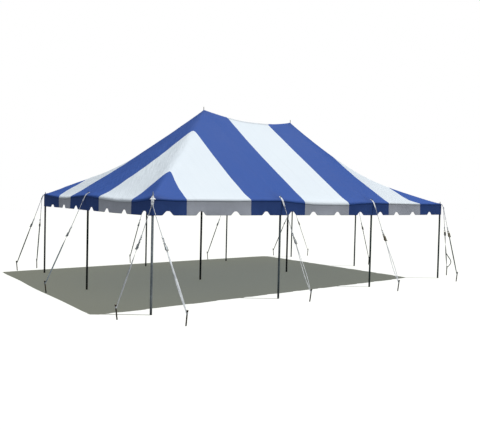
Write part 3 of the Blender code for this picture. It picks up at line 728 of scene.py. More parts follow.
def hang_valance(side):
    """One side's strip, from one fabric edge to the other."""
    long_side = side in ("front", "back")
    sign = -1 if side in ("front", "left") else 1
    length = 3 * BAY if long_side else 2 * BAY
    depth = (HALF_WIDTH if long_side else HALF_LENGTH) + VALANCE_GAP
    joints = [joint + length / 2 for joint in MIDDLE_WHITE] if long_side else []
    for corner, pair in CORNER_WHITE.items():
        if side in corner:
            at_start = ("left" if long_side else "front") in corner
            joints += [joint * FOOT if at_start else length - joint * FOOT for joint in pair]
    stations = filled({-FABRIC_EDGE, length + FABRIC_EDGE, *joints}, VALANCE_CELL)
    bm = bmesh.new()
    layers = {name: bm.verts.layers.float.new(name) for name in ("joint", "grime_and_shade")}
    grid = []
    for station in stations:
        column = []
        ends = min(station + FABRIC_EDGE, length + FABRIC_EDGE - station)
        hung = station + joint_shift(side, station, 0.0)
        top_level = between(EAVE_LEVELS[side], hung / BAY) - 0.001
        drop = top_level - between(HEM_LEVELS[side], hung / BAY) - notch_rise(hung, NOTCHES[side])
        for row in VALANCE_ROWS:
            below = row * drop
            swing = min(ends / 0.3, 1.0) * (below / VALANCE_DROP) ** 1.4
            folds = 0.01 * noise.noise((station * 2.6, below * 2, depth)) + 0.007 * sin(station * 5.1 + depth)
            curl = 0.006 * noise.noise((station * 9, below * 5, depth + 4))
            out = sign * (depth + swing * (0.004 + folds + curl))
            plan = (hung - length / 2, out) if long_side else (out, hung - length / 2)
            vertex = bm.verts.new((*tuck_corner(*plan), top_level - below))
            vertex[layers["joint"]] = min((station - joint for joint in joints), key=abs)
            vertex[layers["grime_and_shade"]] = UNDER_EAVE_GRIME_AND_SHADE * (1 - clamped((below - 0.05) / 0.1)) + VALANCE_GRIME_AND_SHADE
            column.append(vertex)
        grid.append(column)
    for index, (column, following) in enumerate(zip(grid[:-1], grid[1:])):
        middle = (stations[index] + stations[index + 1]) / 2 - length / 2
        plan = (middle, sign * (depth - 0.01)) if long_side else (sign * (depth - 0.01), middle)
        for row in range(len(VALANCE_ROWS) - 1):
            face = bm.faces.new((column[row], column[row + 1], following[row + 1], following[row]))
            face.material_index = int(is_white(*plan))
            face.smooth = True
    mesh = bpy.data.meshes.new("scalloped_valance_" + side)
    bm.to_mesh(mesh)
    bm.free()
    if side in ("back", "left"):
        mesh.flip_normals()
    valance = put_up("scalloped_valance_" + side, mesh, valance_vinyls, "striped_vinyl", "valance_" + side)
    thicken(valance)


# The valances' white is painted darker than the top's white, as shade; their blue is a little paler than the
# top's.
valance_vinyls = [
    laminated_vinyl("blue_valance_vinyl", "#3D599A", "#4963A1", "#27335A"),
    laminated_vinyl("white_valance_vinyl_painted_shade", "#C6CCD8", "#D2D5E0", "#8F8E88"),
]
for valance_side in ("front", "back", "left", "right"):
    hang_valance(valance_side)

# Tabs
# A doubled strap of white polyester webbing is slipped over each pin and comes down over the eave to take the
# rope. A zinc-plated washer holds it on the pin. The corner ones are wider, and end in a ring for two ropes.
TAB_HALF = 0.025
CORNER_TAB_OUT = {
    "front_left": (-0.84, -1.16),
    "front_right": (1, -1),
    "back_left": (-1, 1),
    "back_right": (1, 1),
}
CORNER_TAB_HALVES = (0.01, 0.01, 0.013, 0.021, 0.033, 0.046, 0.053)
CORNER_TAB_LOWER = ((0.05, 0.055), (0.06, 0.052), (0.075, 0.028), (0.5, 0.025), (0.9, 0.024), (1.0, 0.015))
TAB_THICKNESS = 0.0015
TAB_LIFT = 0.003
TAB_LENGTH = 0.13
CORNER_TAB_FALL = 0.1
WASHER_RADIUS = 0.0165
STAKE_HEIGHT = 0.27
STAKE_RADIUS = 0.0125
STAKE_HEAD = 0.026
STAKE_LEAN = 0.12
LOOP_HALF = 0.015
LOOP_LEVEL = STAKE_HEIGHT - STAKE_HEAD - 0.012 - LOOP_HALF
LOOP_WALL = 0.005
# Each stake's place, from the foot of the pole that it holds.
CORNER_STAKES = {
    "front_left": ((-0.66, -0.03), (0.1, -1.03)),
    "front_right": ((0.79, 0.2), (-0.13, -0.64)),
    "back_left": ((-0.5, 0.78), (0.1, 1.03)),
    "back_right": ((0.89, 0.03), (-0.3, 0.66)),
}
SIDE_STAKES = {
    "front_a": (0.35, -0.6),
    "front_b": (0.11, -0.76),
    "back_a": (-0.06, 0.95),
    "back_b": (-0.28, 0.7),
    "left": (-0.89, 0.03),
    "right": (0.76, 0.02),
}


def woven_webbing(name, darkened, clean):
    """Polyester webbing: matt, with ribs across it every 3 mm drawn 8 mm coarse, painted shade between the
    ribs, soiled in patches.
    """
    material, tree, shader = new_material(name, 0.0, 0.82, IOR=1.5, Sheen_Weight=0.3, Sheen_Roughness=0.6)
    place = add_node(tree, "TexCoord").outputs["Object"]
    ribs = add_node(tree, "TexWave", {"Vector": place, "Scale": 1 / 0.008 / 6.28, "Distortion": 1.5})
    ribs.bands_direction = "Z"
    patches = add_node(tree, "TexNoise", {"Vector": place, "Scale": 11.0, "Detail": 4.0})
    tone = add_node(tree, "ValToRGB", {0: patches.outputs["Fac"]}, ((0.25, darkened), (0.62, clean)))
    # Painted shade between the ribs.
    shaded = add_node(tree, "MapRange", {0: ribs.outputs["Fac"], 1: 0.0, 2: 1.0, 3: 0.0, 4: 0.1})
    between_ribs = {0: shaded.outputs[0], 6: tone.outputs[0], 7: linear("#A3AAB0")}
    weave = add_node(tree, "Mix", between_ribs, data_type="RGBA")
    dress(tree, shader, weave.outputs[2], relief=ribs.outputs["Fac"], strength=0.5, distance=0.0015)
    return material


def plated_steel():
    """Bright zinc plating, rubbed and spotted with rust."""
    material, tree, shader = new_material("zinc_plated_steel", 0.9, 0.35)
    place = add_node(tree, "TexCoord").outputs["Object"]
    spots = add_node(tree, "TexNoise", {"Vector": place, "Scale": 70.0, "Detail": 5.0})
    tone = add_node(tree, "ValToRGB", {0: spots.outputs["Fac"]}, ((0.32, "#5E4A38"), (0.48, "#A9ADAC")))
    dress(tree, shader, tone.outputs[0])
    return material


def eased(points, step):
    """Points on a smooth curve through these, about a step apart. More numbers may follow a point's place."""
    ends = [points[0], *points, points[-1]]
    result = [tuple(points[0])]
    for before, start, end, after in zip(ends, ends[1:], ends[2:], ends[3:]):
        span = sqrt(sum((a - b) ** 2 for a, b in zip(start[:3], end[:3])))
        count = max(round(span / step), 1)
        for index in range(1, count + 1):
            t = index / count
            weights = (-t + 2 * t**2 - t**3, 2 - 5 * t**2 + 3 * t**3, t + 4 * t**2 - 3 * t**3, t**3 - t**2)
            rows = zip(before, start, end, after)
            result.append(tuple(sum(w * value for w, value in zip(weights, row)) / 2 for row in rows))
    return result


def strap_rings(path, across, thickness):
    """Rings of eight points round a flat strap. A path point is x, y, z, half width and twist in radians."""
    rings = []
    for index, (x, y, z, half, twist) in enumerate(path):
        before = Vector(path[max(index - 1, 0)][:3])
        after = Vector(path[min(index + 1, len(path) - 1)][:3])
        along = (after - before).normalized()
        side = (across - along * across.dot(along)).normalized()
        normal = along.cross(side)
        side, normal = side * cos(twist) + normal * sin(twist), normal * cos(twist) - side * sin(twist)
        outline = ((1, 0.4), (0.9, 1), (-0.9, 1), (-1, 0.4), (-1, -0.4), (-0.9, -1), (0.9, -1), (1, -0.4))
        middle = Vector((x, y, z))
        rings.append([middle + side * half * u + normal * thickness * v for u, v in outline])
    return rings


def join_rings(points, faces, rings, closed=False):
    """Adds a skin over rings of points, with its ends capped or, where it is closed, joined up."""
    start, sides = len(points), len(rings[0])
    for ring in rings:
        points += ring
    count = len(rings)
    for index in range(count if closed else count - 1):
        here, following = start + index * sides, start + (index + 1) % count * sides
        for side in range(sides):
            beside = (side + 1) % sides
            faces.append((here + side, here + beside, following + beside, following + side))
    if not closed:
        faces.append(tuple(range(start, start + sides)))
        faces.append(tuple(reversed(range(start + (count - 1) * sides, start + count * sides))))


def stake_point(pole, away, height):
    """A point on a stake's axis, by its height."""
    lean = Vector((*away, 0)).normalized() * STAKE_LEAN
    return Vector((pole[0] + away[0], pole[1] + away[1], 0)) + lean * height + Vector((0, 0, height))


def tied_point(pole, away):
    """Where the webbing meets its loop, on the tent's side of the stake."""
    in_front = Vector((*away, 0)).normalized() * (STAKE_RADIUS + LOOP_WALL / 2)
    return stake_point(pole, away, LOOP_LEVEL) - in_front


def over_the_eave(pole, out):
    """Points on the cloth from behind the pin out to the eave, and the first one past its roll."""
    away = Vector((*out, 0)).normalized()
    spread = Vector(out).length
    points = []
    for share in (-0.55, -0.2, 0.15, 0.5, 0.78, 0.93):
        place = Vector((*pole, 0)) + away * FABRIC_EDGE * spread * share
        points.append(Vector((*tuck_corner(place.x, place.y), cloth_height(place.x, place.y) + TAB_LIFT)))
    edge = Vector((*pole, 0)) + away * FABRIC_EDGE * spread
    side, along, _, _ = slope_at(edge.x, edge.y)
    past = Vector((*tuck_corner(edge.x, edge.y), between(EAVE_LEVELS[side], along / BAY) - 0.004))
    points.append(past + away * 0.007 * spread)
    return points, away


webbing = woven_webbing("white_polyester_webbing", "#C5CBD1", "#F2F6FA")
zinc = plated_steel()


def ring_mesh(name, centre, axis, radius, wire, sides=10, turns=28):
    """A round steel ring about an axis."""
    axis = axis.normalized()
    first = axis.orthogonal().normalized()
    second = axis.cross(first)
    points, faces, rings = [], [], []
    for step in range(turns):
        turn = 2 * pi * step / turns
        out = first * cos(turn) + second * sin(turn)
        loop = [2 * pi * side / sides for side in range(sides)]
        rings.append([centre + out * (radius + wire * cos(a)) + axis * wire * sin(a) for a in loop])
    join_rings(points, faces, rings, closed=True)
    return finish_mesh(name, points, faces)


def fit_tab(key, pole, out, halves, lower):
    """A tab from behind the pin, over the eave and on through the lower points, and its washer."""
    points, away = over_the_eave(pole, out)
    path = [(*point, half, 0.0) for point, half in zip(points, halves)] + lower
    across = Vector((-away.y, away.x, 0))
    vertices, faces = [], []
    join_rings(vertices, faces, strap_rings(eased(path, 0.012), across, TAB_THICKNESS))
    put_up("tab_" + key, finish_mesh("tab_" + key, vertices, faces), [webbing], "webbing")
    level = cloth_height(*pole) + TAB_LIFT + TAB_THICKNESS
    profile = [
        (0.0, level - 0.001),
        (WASHER_RADIUS, level - 0.001),
        (WASHER_RADIUS, level + 0.0012),
        (WASHER_RADIUS - 0.001, level + 0.002),
        (0.009, level + 0.002),
        (0.0, level + 0.0018),
    ]
    washer = turned_mesh("washer_" + key, profile, pole, sides=24)
    put_up("washer_" + key, washer, [zinc], "galvanised_steel")


guys = {}
for key, (pole, out) in SIDES.items():
    shoulder = over_the_eave(pole, out)[0][-1]
    end = tied_point(pole, SIDE_STAKES[key])
    along = (end - shoulder).normalized()
    lower = []
    for share in (0.2, 0.6, 1):
        lower.append((*(shoulder + along * TAB_LENGTH * share), TAB_HALF * (1 - 0.25 * share), 0.0))
    fit_tab(key, pole, out, [TAB_HALF] * 7, lower)
    guys[key] = (shoulder + along * (TAB_LENGTH - 0.01), end, pole, SIDE_STAKES[key])
for key, pole in CORNERS.items():
    out = CORNER_TAB_OUT[key]
    shoulder, away = over_the_eave(pole, out)[0][-1], Vector((*out, 0)).normalized()
    tip = shoulder + away * 0.05 - Vector((0, 0, CORNER_TAB_FALL))
    lower = [(*shoulder.lerp(tip, share), half, 0.0) for share, half in CORNER_TAB_LOWER]
    fit_tab("corner_" + key, pole, out, CORNER_TAB_HALVES, lower)
    ring_centre = shoulder.lerp(tip, 0.55) + away * 0.004
    ring = ring_mesh("ring_corner_" + key, ring_centre, away + Vector((0, 0, 0.35)), 0.015, 0.0032)
    put_up("ring_corner_" + key, ring, [zinc], "galvanised_steel")
    for letter, stake in zip("ab", CORNER_STAKES[key]):
        end = tied_point(pole, stake)
        flat = Vector((end.x - tip.x, end.y - tip.y, 0)).normalized()
        start = tip + Vector((0, 0, 0.008)) + flat * 0.002
        guys["corner_" + key + "_" + letter] = (start, end, pole, stake)

# Ratchets
# A tie-down ratchet of pressed steel joins each rope to its webbing: two side plates, toothed wheels on a
# slotted spool that winds the webbing, a bar for the rope, and a folded handle. Some are plated yellow and
# have gone brown with dirt, and the others are zinc-plated and have gone grey.
# Each sits at this share of the way down its guy, a little further up than its CAD node and smaller.
RATCHET_SHARE = 0.42
RATCHET_SIZES = {"front_b": 0.95, "corner_front_right_a": 0.9, "corner_front_right_b": 0.95}
RATCHET_SIZE = 0.74
BROWN_RATCHETS = ("front_b", "corner_front_right", "corner_back_left_b", "corner_back_right_a", "right")
RATCHET_UP = 0.026
PLATE = 0.003
PLATE_INNER = 0.0195
SPOOL = (0.05, -0.0103)
ROPE_BAR = (-0.08, -0.0073)
TEETH = 11
TOOTH_TIP = 0.0185
TOOTH_ROOT = 0.0135
WOUND_STEPS = 67
STEPS_A_TURN = 18


def pressed_plating(name, metallic, stained, plated, rubbed_bright):
    """Plating over pressed steel: paler at its rubbed edges, with black grease in patches."""
    material, tree, shader = new_material(name, metallic, 0.42)
    place = add_node(tree, "TexCoord").outputs["Object"]
    stains = add_node(tree, "TexNoise", {"Vector": place, "Scale": 34.0, "Detail": 5.0, "Roughness": 0.65})
    tone = add_node(tree, "ValToRGB", {0: stains.outputs["Fac"]}, ((0.36, stained), (0.66, plated)))
    edges = add_node(tree, "NewGeometry").outputs["Pointiness"]
    rubbed = add_node(tree, "MapRange", {0: edges, 1: 0.52, 2: 0.6, 3: 0.0, 4: 0.7})
    at_edges = {0: rubbed.outputs[0], 6: tone.outputs[0], 7: linear(rubbed_bright)}
    worn_plating = add_node(tree, "Mix", at_edges, data_type="RGBA")
    rough = add_node(tree, "MapRange", {0: stains.outputs["Fac"], 1: 0.3, 2: 0.7, 3: 0.55, 4: 0.32})
    dress(tree, shader, worn_plating.outputs[2], rough.outputs[0], stains.outputs["Fac"], 0.2, 0.001)
    return material


def pressed_plate(points, faces, outline, *levels):
    """A plate standing along X and Z between two Y levels, its rim eased by a smaller ring on each face."""
    low, high = sorted(levels)
    middle = [sum(values) / len(outline) for values in zip(*outline)]
    ease = 0.0007

    def ring(level, shrink):
        placed = []
        for x, z in outline:
            away = Vector((x - middle[0], z - middle[1]))
            away = away.normalized() * shrink if away.length else away
            placed.append(Vector((x - away.x, level, z - away.y)))
        return placed

    join_rings(points, faces, [ring(low, ease), ring(low + ease, 0), ring(high - ease, 0), ring(high, ease)])


def round_bar(points, faces, place, radius, *levels, sides=14):
    """A bar across the ratchet between two Y levels, with eased ends."""
    low, high = sorted(levels)
    rings = []
    for level, share in ((low, 0.8), (low + 0.001, 1.0), (high - 0.001, 1.0), (high, 0.8)):
        turns = [2 * pi * side / sides for side in range(sides)]
        circle = [(place[0] + radius * share * cos(t), place[1] + radius * share * sin(t)) for t in turns]
        rings.append([Vector((x, level, z)) for x, z in circle])
    join_rings(points, faces, rings)


def ratchet_mesh():
    """X runs down the guy, Y across the webbing and Z out of its face."""
    points, faces, slots = [], [], []

    def paint(material):
        slots.extend([material] * (len(faces) - len(slots)))

    frame_plate = [(-0.1, -0.012), (-0.094, -0.017), (0.03, -0.018), (0.04, -0.024), (0.06, -0.024)]
    frame_plate += [(0.07, -0.018), (0.094, -0.015), (0.1, -0.009), (0.1, 0.0), (0.094, 0.006)]
    frame_plate += [(0.068, 0.008), (0.058, 0.013), (0.02, 0.013), (0.0, 0.006), (-0.094, 0.004)]
    frame_plate += [(-0.1, -0.002)]
    wheel = []
    for tooth in range(TEETH):
        for turn, radius in ((0.0, TOOTH_TIP), (0.42, TOOTH_ROOT)):
            angle = 2 * pi * tooth / TEETH + turn
            wheel.append((SPOOL[0] + radius * cos(angle), SPOOL[1] + radius * sin(angle)))
    arm = [(0.036, -0.006), (0.046, 0.0), (0.062, 0.002), (0.075, 0.013), (0.1, 0.017), (0.112, 0.026)]
    arm += [(0.106, 0.036), (0.094, 0.036), (0.088, 0.025), (0.02, 0.022), (-0.026, 0.02), (-0.03, 0.014)]
    arm += [(0.02, 0.011)]
    outer = PLATE_INNER + PLATE
    for sign in (-1, 1):
        pressed_plate(points, faces, frame_plate, sign * PLATE_INNER, sign * outer)
        pressed_plate(points, faces, wheel, sign * (outer + 0.0006), sign * (outer + 0.0032))
        pressed_plate(points, faces, arm, sign * (outer + 0.004), sign * (outer + 0.0062))
    reach = outer + 0.009
    round_bar(points, faces, SPOOL, 0.0068, -reach, reach, sides=18)
    round_bar(points, faces, ROPE_BAR, 0.005, -outer - 0.002, outer + 0.002)
    for sign in (-1, 1):
        level = sign * (outer + 0.002)
        round_bar(points, faces, ROPE_BAR, 0.0085, level, level - sign * 0.0025)
        round_bar(points, faces, SPOOL, 0.0098, sign * reach, sign * (reach - 0.002), sides=18)
    bridge = [(-0.03, 0.014), (0.02, 0.0165), (0.086, 0.0185), (0.086, 0.0205), (0.02, 0.0195)]
    bridge += [(-0.03, 0.0172)]
    pressed_plate(points, faces, bridge, -0.0225, 0.0225)
    pawl = [(0.012, 0.006), (0.03, 0.0045), (0.036, -0.002), (0.038, -0.001), (0.033, 0.007), (0.012, 0.0085)]
    pressed_plate(points, faces, pawl, -0.026, 0.026)
    paint(0)
    round_bar(points, faces, (0.1, 0.029), 0.0085, -0.0235, 0.0235, sides=18)
    paint(1)
    rings = []
    for step in range(WOUND_STEPS):
        turn = 2 * pi * step / STEPS_A_TURN
        inside = 0.0085 + 0.0019 * step / STEPS_A_TURN
        ring = []
        for radius, halves in ((inside, (-0.0165, 0.0165)), (inside + 0.0014, (0.0165, -0.0165))):
            x, z = SPOOL[0] + radius * sin(turn), SPOOL[1] + radius * cos(turn)
            ring += [Vector((x, half, z)) for half in halves]
        rings.append(ring)
    join_rings(points, faces, rings)
    paint(2)
    mesh = finish_mesh("ratchet", points, faces, 30)
    mesh.polygons.foreach_set("material_index", slots)
    return mesh


def handle_grip():
    """Moulded black grip of the handle, dulled by hands."""
    material, tree, shader = new_material("black_moulded_grip", 0.0, 0.6, IOR=1.5)
    place = add_node(tree, "TexCoord").outputs["Object"]
    grain = add_node(tree, "TexNoise", {"Vector": place, "Scale": 120.0, "Detail": 3.0})
    tone = add_node(tree, "ValToRGB", {0: grain.outputs["Fac"]}, ((0.0, "#1A1A1A"), (1.0, "#3C3B38")))
    dress(tree, shader, tone.outputs[0], relief=grain.outputs["Fac"], strength=0.3, distance=0.0006)
    return material


grip = handle_grip()
brown_ratchet = ratchet_mesh()
yellow = pressed_plating("yellow_plated_pressed_steel", 0.7, "#2E2921", "#85765A", "#B9B09A")
grey = pressed_plating("zinc_plated_pressed_steel", 0.35, "#6A747B", "#AEB9BE", "#DDE2E4")
for finish in (yellow, grip, webbing):
    brown_ratchet.materials.append(finish)
grey_ratchet = brown_ratchet.copy()
grey_ratchet.name = "grey_ratchet"
grey_ratchet.materials[0] = grey
directions = {}
for key, (start, end, _, _) in guys.items():
    along = (end - start).normalized()
    flat = Vector((along.x, along.y, 0)).normalized()
    across = Vector((-flat.y, flat.x, 0))
    if key in SIDES:
        out = SIDES[key][1]
        across = Vector((-out[1], out[0], 0))
        across = (across - along * across.dot(along)).normalized()
    centre = start + along * ((end - start).length * RATCHET_SHARE - RATCHET_UP)
    turn = Matrix((along, across, along.cross(across))).transposed().to_4x4()
    place = Matrix.Translation(centre) @ turn @ Matrix.Scale(RATCHET_SIZES.get(key, RATCHET_SIZE), 4)
    shape = brown_ratchet if key.startswith(BROWN_RATCHETS) else grey_ratchet
    put_up("tie_ratchet_" + key, shape, [], "ratchet_steel", "ratchet_" + key, matrix=place)
    directions[key] = (along, across, place)

# Ropes
# Three strands of white polyester are laid into a 15 mm rope, which is tied to the tab above and hitched
# round the ratchet's bar below. It is made from end to end and pulled taut.
ROPE_RADIUS = 0.0075
ROPE_LAY = 0.055
KNOT_RISE = 0.0032
BAR_TURN = 0.0115
HITCH_RADIUS = 0.0135
HITCH_RISE = 0.0045
TURN_STEPS = 7


def laid_fibre():
    """Laid polyester rope: soft and matt, its strands greyed by weather."""
    material, tree, shader = new_material("laid_polyester_rope", 0.0, 0.85, IOR=1.5, Sheen_Weight=0.35)
    place = add_node(tree, "TexCoord").outputs["Object"]
    fibres = add_node(tree, "TexNoise", {"Vector": place, "Scale": 240.0, "Detail": 4.0})
    patches = add_node(tree, "TexNoise", {"Vector": place, "Scale": 9.0, "Detail": 3.0})
    tone = add_node(tree, "ValToRGB", {0: patches.outputs["Fac"]}, ((0.3, "#CBD3DD"), (0.6, "#F3F8FE")))
    dress(tree, shader, tone.outputs[0], relief=fibres.outputs["Fac"], strength=0.5, distance=0.001)
    return material


def lay_rope(points, faces, path):
    """Three strands twisted about a path."""
    strand, offset = ROPE_RADIUS * 0.5, ROPE_RADIUS * 0.52
    along = (Vector(path[1]) - Vector(path[0])).normalized()
    side = along.orthogonal().normalized()
    rings = [[], [], []]
    travelled = 0.0
    for index, point in enumerate(path):
        before, after = Vector(path[max(index - 1, 0)]), Vector(path[min(index + 1, len(path) - 1)])
        along = (after - before).normalized()
        side = (side - along * side.dot(along)).normalized()
        normal = along.cross(side)
        travelled += (Vector(point) - before).length
        for number in range(3):
            turn = 2 * pi * (travelled / ROPE_LAY + number / 3)
            centre = Vector(point) + (side * cos(turn) + normal * sin(turn)) * offset
            loop = [turn + 2 * pi * corner / 7 for corner in range(7)]
            rings[number].append([centre + (side * cos(a) + normal * sin(a)) * strand for a in loop])
    for ring in rings:
        join_rings(points, faces, ring)


rope_fibre = laid_fibre()
for key, (start, _, _, _) in guys.items():
    along, across, place = directions[key]
    out = along.cross(across)
    bar = place @ Vector((ROPE_BAR[0], 0, ROPE_BAR[1]))
    knot = []
    for step in range(15):
        turn = 2 * pi * step / TURN_STEPS
        swing = across * 0.011 * cos(turn) + out * 0.008 * sin(turn)
        knot.append(start - along * 0.012 + swing + along * KNOT_RISE * step)
    down = [start + along * 0.04, bar - along * 0.1, bar - along * 0.03 - out * 0.003]
    back_up = [bar - out * BAR_TURN, bar + along * BAR_TURN, bar + out * BAR_TURN]
    back_up += [bar - along * 0.025 + out * 0.009]
    hitch = []
    for step in range(18):
        turn = 2 * pi * step / TURN_STEPS + pi / 2
        middle = bar - along * (0.04 + HITCH_RISE * step)
        hitch.append(middle + out * HITCH_RADIUS * sin(turn) + across * HITCH_RADIUS * cos(turn))
    tail = [hitch[-1] - along * 0.01 + out * 0.012, hitch[-1] + out * 0.024 - Vector((0, 0, 0.02))]
    points, faces = [], []
    lay_rope(points, faces, eased([tuple(point) for point in knot + down + back_up + hitch + tail], 0.008))
    replaced = "guy_" + (key[:-2] if key.startswith("corner") else key)
    put_up("rope_" + key, finish_mesh("rope_" + key, points, faces, 80), [rope_fibre], "webbing", replaced)

# Lower webbing
# Doubled 27 mm polyester webbing comes off the ratchet's spool, ends in a sewn loop round the stake, and is
# drawn taut. A few are twisted on the way down, and one at the front right corner has a slack loop beside its
# stake. The left end's is painted grey, as the tent's shadow on it, the older ones are dark with weather, and
# the others are still white.
WEB_HALF = 0.0135
WEB_THICKNESS = 0.0009
LOOP_STEPS = 28
# How far each length of webbing twists on its way down, in half turns.
TWISTS = {
    "corner_front_left_a": 0.34,
    "corner_front_left_b": 0.12,
    "corner_front_right_a": 1.5,
    "corner_front_right_b": 0.4,
    "corner_back_right_b": 0.5,
    "front_a": -0.13,
    "front_b": 0.0,
    "left": 0.5,
}
TWISTED_BY = 0.3
DRAWN_APART = {"front_a": 0.028, "front_b": 0.034, "corner_front_left_b": 0.008}
SLACK_LOOP = "corner_front_right_a"
SLACK_SHAPE = ((0.55, 0.0), (0.65, 0.06), (0.75, 0.12), (0.84, 0.13), (0.93, 0.07), (0.98, 0.012))
SLACK_TOWARDS = (0.79, -0.61)
OLDER = ("corner_front_right", "corner_back", "back", "right")
older_webbing = woven_webbing("weathered_polyester_webbing", "#3F4B48", "#808D8B")
# Painted shadow: the left end's webbing is toned grey for the tent's shadow on it.
shaded_webbing = woven_webbing("polyester_webbing_painted_shadow", "#7A8993", "#AFBCC4")
for key, (_, end, pole, stake) in guys.items():
    along, across, place = directions[key]
    out = along.cross(across)
    spool = place @ Vector((SPOOL[0], 0, 0.0))
    length = (end - spool).length
    twist = TWISTS.get(key, 0.12) * pi
    points, faces = [], []
    for face in (-1, 1):
        path = []
        for share in (0.0, 0.08, 0.3, 0.5, 0.7, 0.9, 1.0):
            apart = 0.0012 + 0.0045 * sin(pi * share) ** 2
            angle = twist * (share if abs(twist) > pi else min(share / TWISTED_BY, 1.0))
            push = (out * cos(angle) - across * sin(angle)) * apart * face
            push += across * DRAWN_APART.get(key, 0.0) * sin(pi * share**1.8) * face
            half = WEB_HALF * (1 - 0.28 * max(share - 0.85, 0) / 0.15)
            path.append((*(spool + along * length * share + push), half, angle * (1.0 + 0.06 * face)))
        join_rings(points, faces, strap_rings(eased(path, 0.03), across, WEB_THICKNESS))
    if key == SLACK_LOOP:
        hung = []
        for share, out_by in SLACK_SHAPE:
            point = spool + along * length * share + Vector((*SLACK_TOWARDS, 0)) * out_by
            hung.append((*point, WEB_HALF * 0.9, 0.0))
        slack = strap_rings(eased(hung, 0.015), Vector((*SLACK_TOWARDS, 0.2)), WEB_THICKNESS)
        join_rings(points, faces, slack)
    lean = Vector((*stake, 0)).normalized()
    beside = Vector((-lean.y, lean.x, 0))
    axis = (lean * STAKE_LEAN + Vector((0, 0, 1))).normalized()
    centre = stake_point(pole, stake, LOOP_LEVEL)
    loop = []
    for step in range(LOOP_STEPS):
        turn = 2 * pi * step / LOOP_STEPS
        away = lean * cos(turn) + beside * sin(turn)
        inside = STAKE_RADIUS + 0.0008
        outside = STAKE_RADIUS + 0.0034 + 0.002 * exp(-((turn - pi) ** 2) / 0.2)
        ring = [centre + away * inside + axis * level for level in (-0.014, 0.014)]
        ring += [centre + away * outside + axis * level for level in (LOOP_HALF, -LOOP_HALF)]
        loop.append(ring)
    join_rings(points, faces, loop, closed=True)
    strap = older_webbing if key.startswith(OLDER) else shaded_webbing if key == "left" else webbing
    put_up("strap_" + key, finish_mesh("strap_" + key, points, faces, 40), [strap], "webbing")

# Stakes
# Forged steel bars, 25 mm thick, are driven in leaning away from the tent. Their heads are mushroomed by the
# hammer, bright on top and rusty below. Only what stands above the ground is made.
STAKE_PROFILE = [(0.0, 0.0), (0.0118, 0.0), (0.0125, 0.002)]
STAKE_PROFILE += [(0.0125, 0.02 + 0.02 * step) for step in range(11)]
STAKE_PROFILE += [(0.0127, 0.236), (0.0142, 0.244), (0.0182, 0.2475), (0.0196, 0.2515), (0.0194, 0.259)]
STAKE_PROFILE += [(0.0178, 0.2655), (0.0145, 0.2688), (0.008, 0.2698), (0.0, 0.27)]


def forged_bar():
    """Forged steel, dark scale with brown rust, and rubbed bright on the struck head."""
    material, tree, shader = new_material("rusty_forged_steel", 0.55, 0.65)
    place = add_node(tree, "TexCoord").outputs["Object"]
    rust = add_node(tree, "TexNoise", {"Vector": place, "Scale": 28.0, "Detail": 6.0, "Roughness": 0.7})
    tone = add_node(tree, "ValToRGB", {0: rust.outputs["Fac"]}, ((0.35, "#2E2F27"), (0.68, "#6E5A44")))
    height = add_node(tree, "SeparateXYZ", {0: place}).outputs["Z"]
    hammered = {0: height, 1: STAKE_HEIGHT - 0.012, 2: STAKE_HEIGHT, 3: 0.0, 4: 0.6}
    struck = add_node(tree, "MapRange", hammered)
    on_the_head = {0: struck.outputs[0], 6: tone.outputs[0], 7: linear("#A3A39B")}
    bright = add_node(tree, "Mix", on_the_head, data_type="RGBA")
    rough = add_node(tree, "MapRange", {0: rust.outputs["Fac"], 1: 0.3, 2: 0.7, 3: 0.5, 4: 0.8})
    dress(tree, shader, bright.outputs[2], rough.outputs[0], rust.outputs["Fac"], 0.5, 0.0015)
    return material


forged = forged_bar()
for key, (_, _, pole, stake) in guys.items():
    lean = Vector((*stake, 0)).normalized() * STAKE_LEAN
    foot = (pole[0] + stake[0], pole[1] + stake[1])
    bar = turned_mesh("bar_stake_" + key, STAKE_PROFILE, foot, (lean.x, lean.y), 24, wobble=0.0009)
    put_up("bar_stake_" + key, bar, [forged], "forged_steel", "stake_" + key)

# Floor, light and camera
# A pale studio floor. A key light from the front right and a broad soft one overhead light the tent, a bounce
# light comes up from the floor, and the floor has a light of its own that gives it the tent's crisp shadow.
# The camera stands where the photograph was taken.
FLOOR = 60.0
KEY_FROM = Vector((0.371, -0.264, 0.89))
KEY_STRENGTH = 1.85
OVERHEAD_STRENGTH = 2.18
FLOOR_STRENGTH = 3.3
BOUNCE_STRENGTH = 0.36
CAMERA_AT = (-9.004, -11.352, 2.085)
YAW, PITCH, ROLL = -0.6562154, -0.0277974, 0.0231459
FOCAL_PIXELS = 521.515
PICTURE_WIDTH = 480
SENSOR = 36.0
floor_mesh = bpy.data.meshes.new("studio_floor")
corners = [(-FLOOR, -FLOOR, 0), (FLOOR, -FLOOR, 0), (FLOOR, FLOOR, 0), (-FLOOR, FLOOR, 0)]
floor_mesh.from_pydata(corners, [], [(0, 1, 2, 3)])
floor = add_object("studio_floor", floor_mesh)
pale, tree, shader = new_material("pale_studio_floor", 0.0, 0.9)
shader.inputs["Base Color"].default_value = linear("#F8F8F8")
shader.inputs["Emission Color"].default_value = linear("#F9FDD4")
shader.inputs["Emission Strength"].default_value = 0.143
floor_mesh.materials.append(pale)
floor.visible_diffuse = False
floor.visible_glossy = False

world = bpy.data.worlds.new("studio_surround")
world.use_nodes = True
bpy.context.scene.world = world
tree = world.node_tree
surround = tree.nodes["Background"]
surround.inputs["Color"].default_value = linear("#F4F8FF")
surround.inputs["Strength"].default_value = 0.1
white = add_node(tree, "Background", {"Color": (1, 1, 1, 1), "Strength": 1.0})
seen = add_node(tree, "LightPath").outputs["Is Camera Ray"]
backdrop = add_node(tree, "MixShader", {0: seen, 1: surround.outputs[0], 2: white.outputs[0]})
tree.links.new(backdrop.outputs[0], tree.nodes["World Output"].inputs["Surface"])


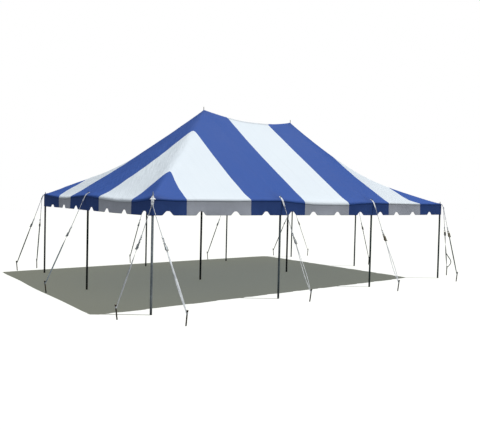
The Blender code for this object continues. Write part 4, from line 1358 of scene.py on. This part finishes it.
def hang_light(name, towards, strength, spread, colour, state):
    """A distant light from one side, which includes the floor alone or excludes it."""
    data = bpy.data.lights.new(name, "SUN")
    data.energy = strength
    data.angle = radians(spread)
    data.color = colour
    light = add_object(name, data)
    light.rotation_euler = towards.to_track_quat("Z", "Y").to_euler()
    reach = bpy.data.collections.new(name + "_reach")
    reach.objects.link(floor)
    reach.collection_objects[0].light_linking.link_state = state
    light.light_linking.receiver_collection = reach
    return light


hang_light("key_light", KEY_FROM, KEY_STRENGTH, 2.0, (1.0, 0.985, 0.96), "EXCLUDE")
hang_light("overhead_soft_light", Vector((0, 0, 1)), OVERHEAD_STRENGTH, 104, (0.96, 0.98, 1.0), "EXCLUDE")
floor_light = hang_light("floor_light", KEY_FROM, FLOOR_STRENGTH, 0.1, (1.0, 1.0, 1.0), "INCLUDE")
# Only the poles, the top and the valances shade the floor. The photo shows no shadow of the guys.
casters = bpy.data.collections.new("floor_light_shadows")
for piece in bpy.context.scene.objects:
    if piece.name.startswith(("striped", "scalloped", "tube")):
        casters.objects.link(piece)
floor_light.light_linking.blocker_collection = casters
bounce = hang_light("bounce_light", Vector((0, 0, -1)), BOUNCE_STRENGTH, 120, (0.97, 1.0, 0.96), "EXCLUDE")
# The bounce light starts below the floor, which has to let it through.
let_through = bpy.data.collections.new("bounce_light_shadows")
let_through.objects.link(floor)
let_through.collection_objects[0].light_linking.link_state = "EXCLUDE"
bounce.light_linking.blocker_collection = let_through

forward = Vector((-sin(YAW) * cos(PITCH), cos(YAW) * cos(PITCH), sin(PITCH)))
right = Vector((cos(YAW), sin(YAW), 0))
upward = right.cross(forward)
camera_data = bpy.data.cameras.new("camera")
camera_data.sensor_width = SENSOR
camera_data.lens = FOCAL_PIXELS / PICTURE_WIDTH * SENSOR
camera = add_object("camera", camera_data)
rolled_right = right * cos(ROLL) + upward * sin(ROLL)
rolled_up = -right * sin(ROLL) + upward * cos(ROLL)
turn = Matrix((rolled_right, rolled_up, -forward)).transposed()
camera.matrix_world = Matrix.Translation(CAMERA_AT) @ turn.to_4x4()
bpy.context.scene.camera = camera
bpy.context.scene.view_settings.view_transform = "Standard"
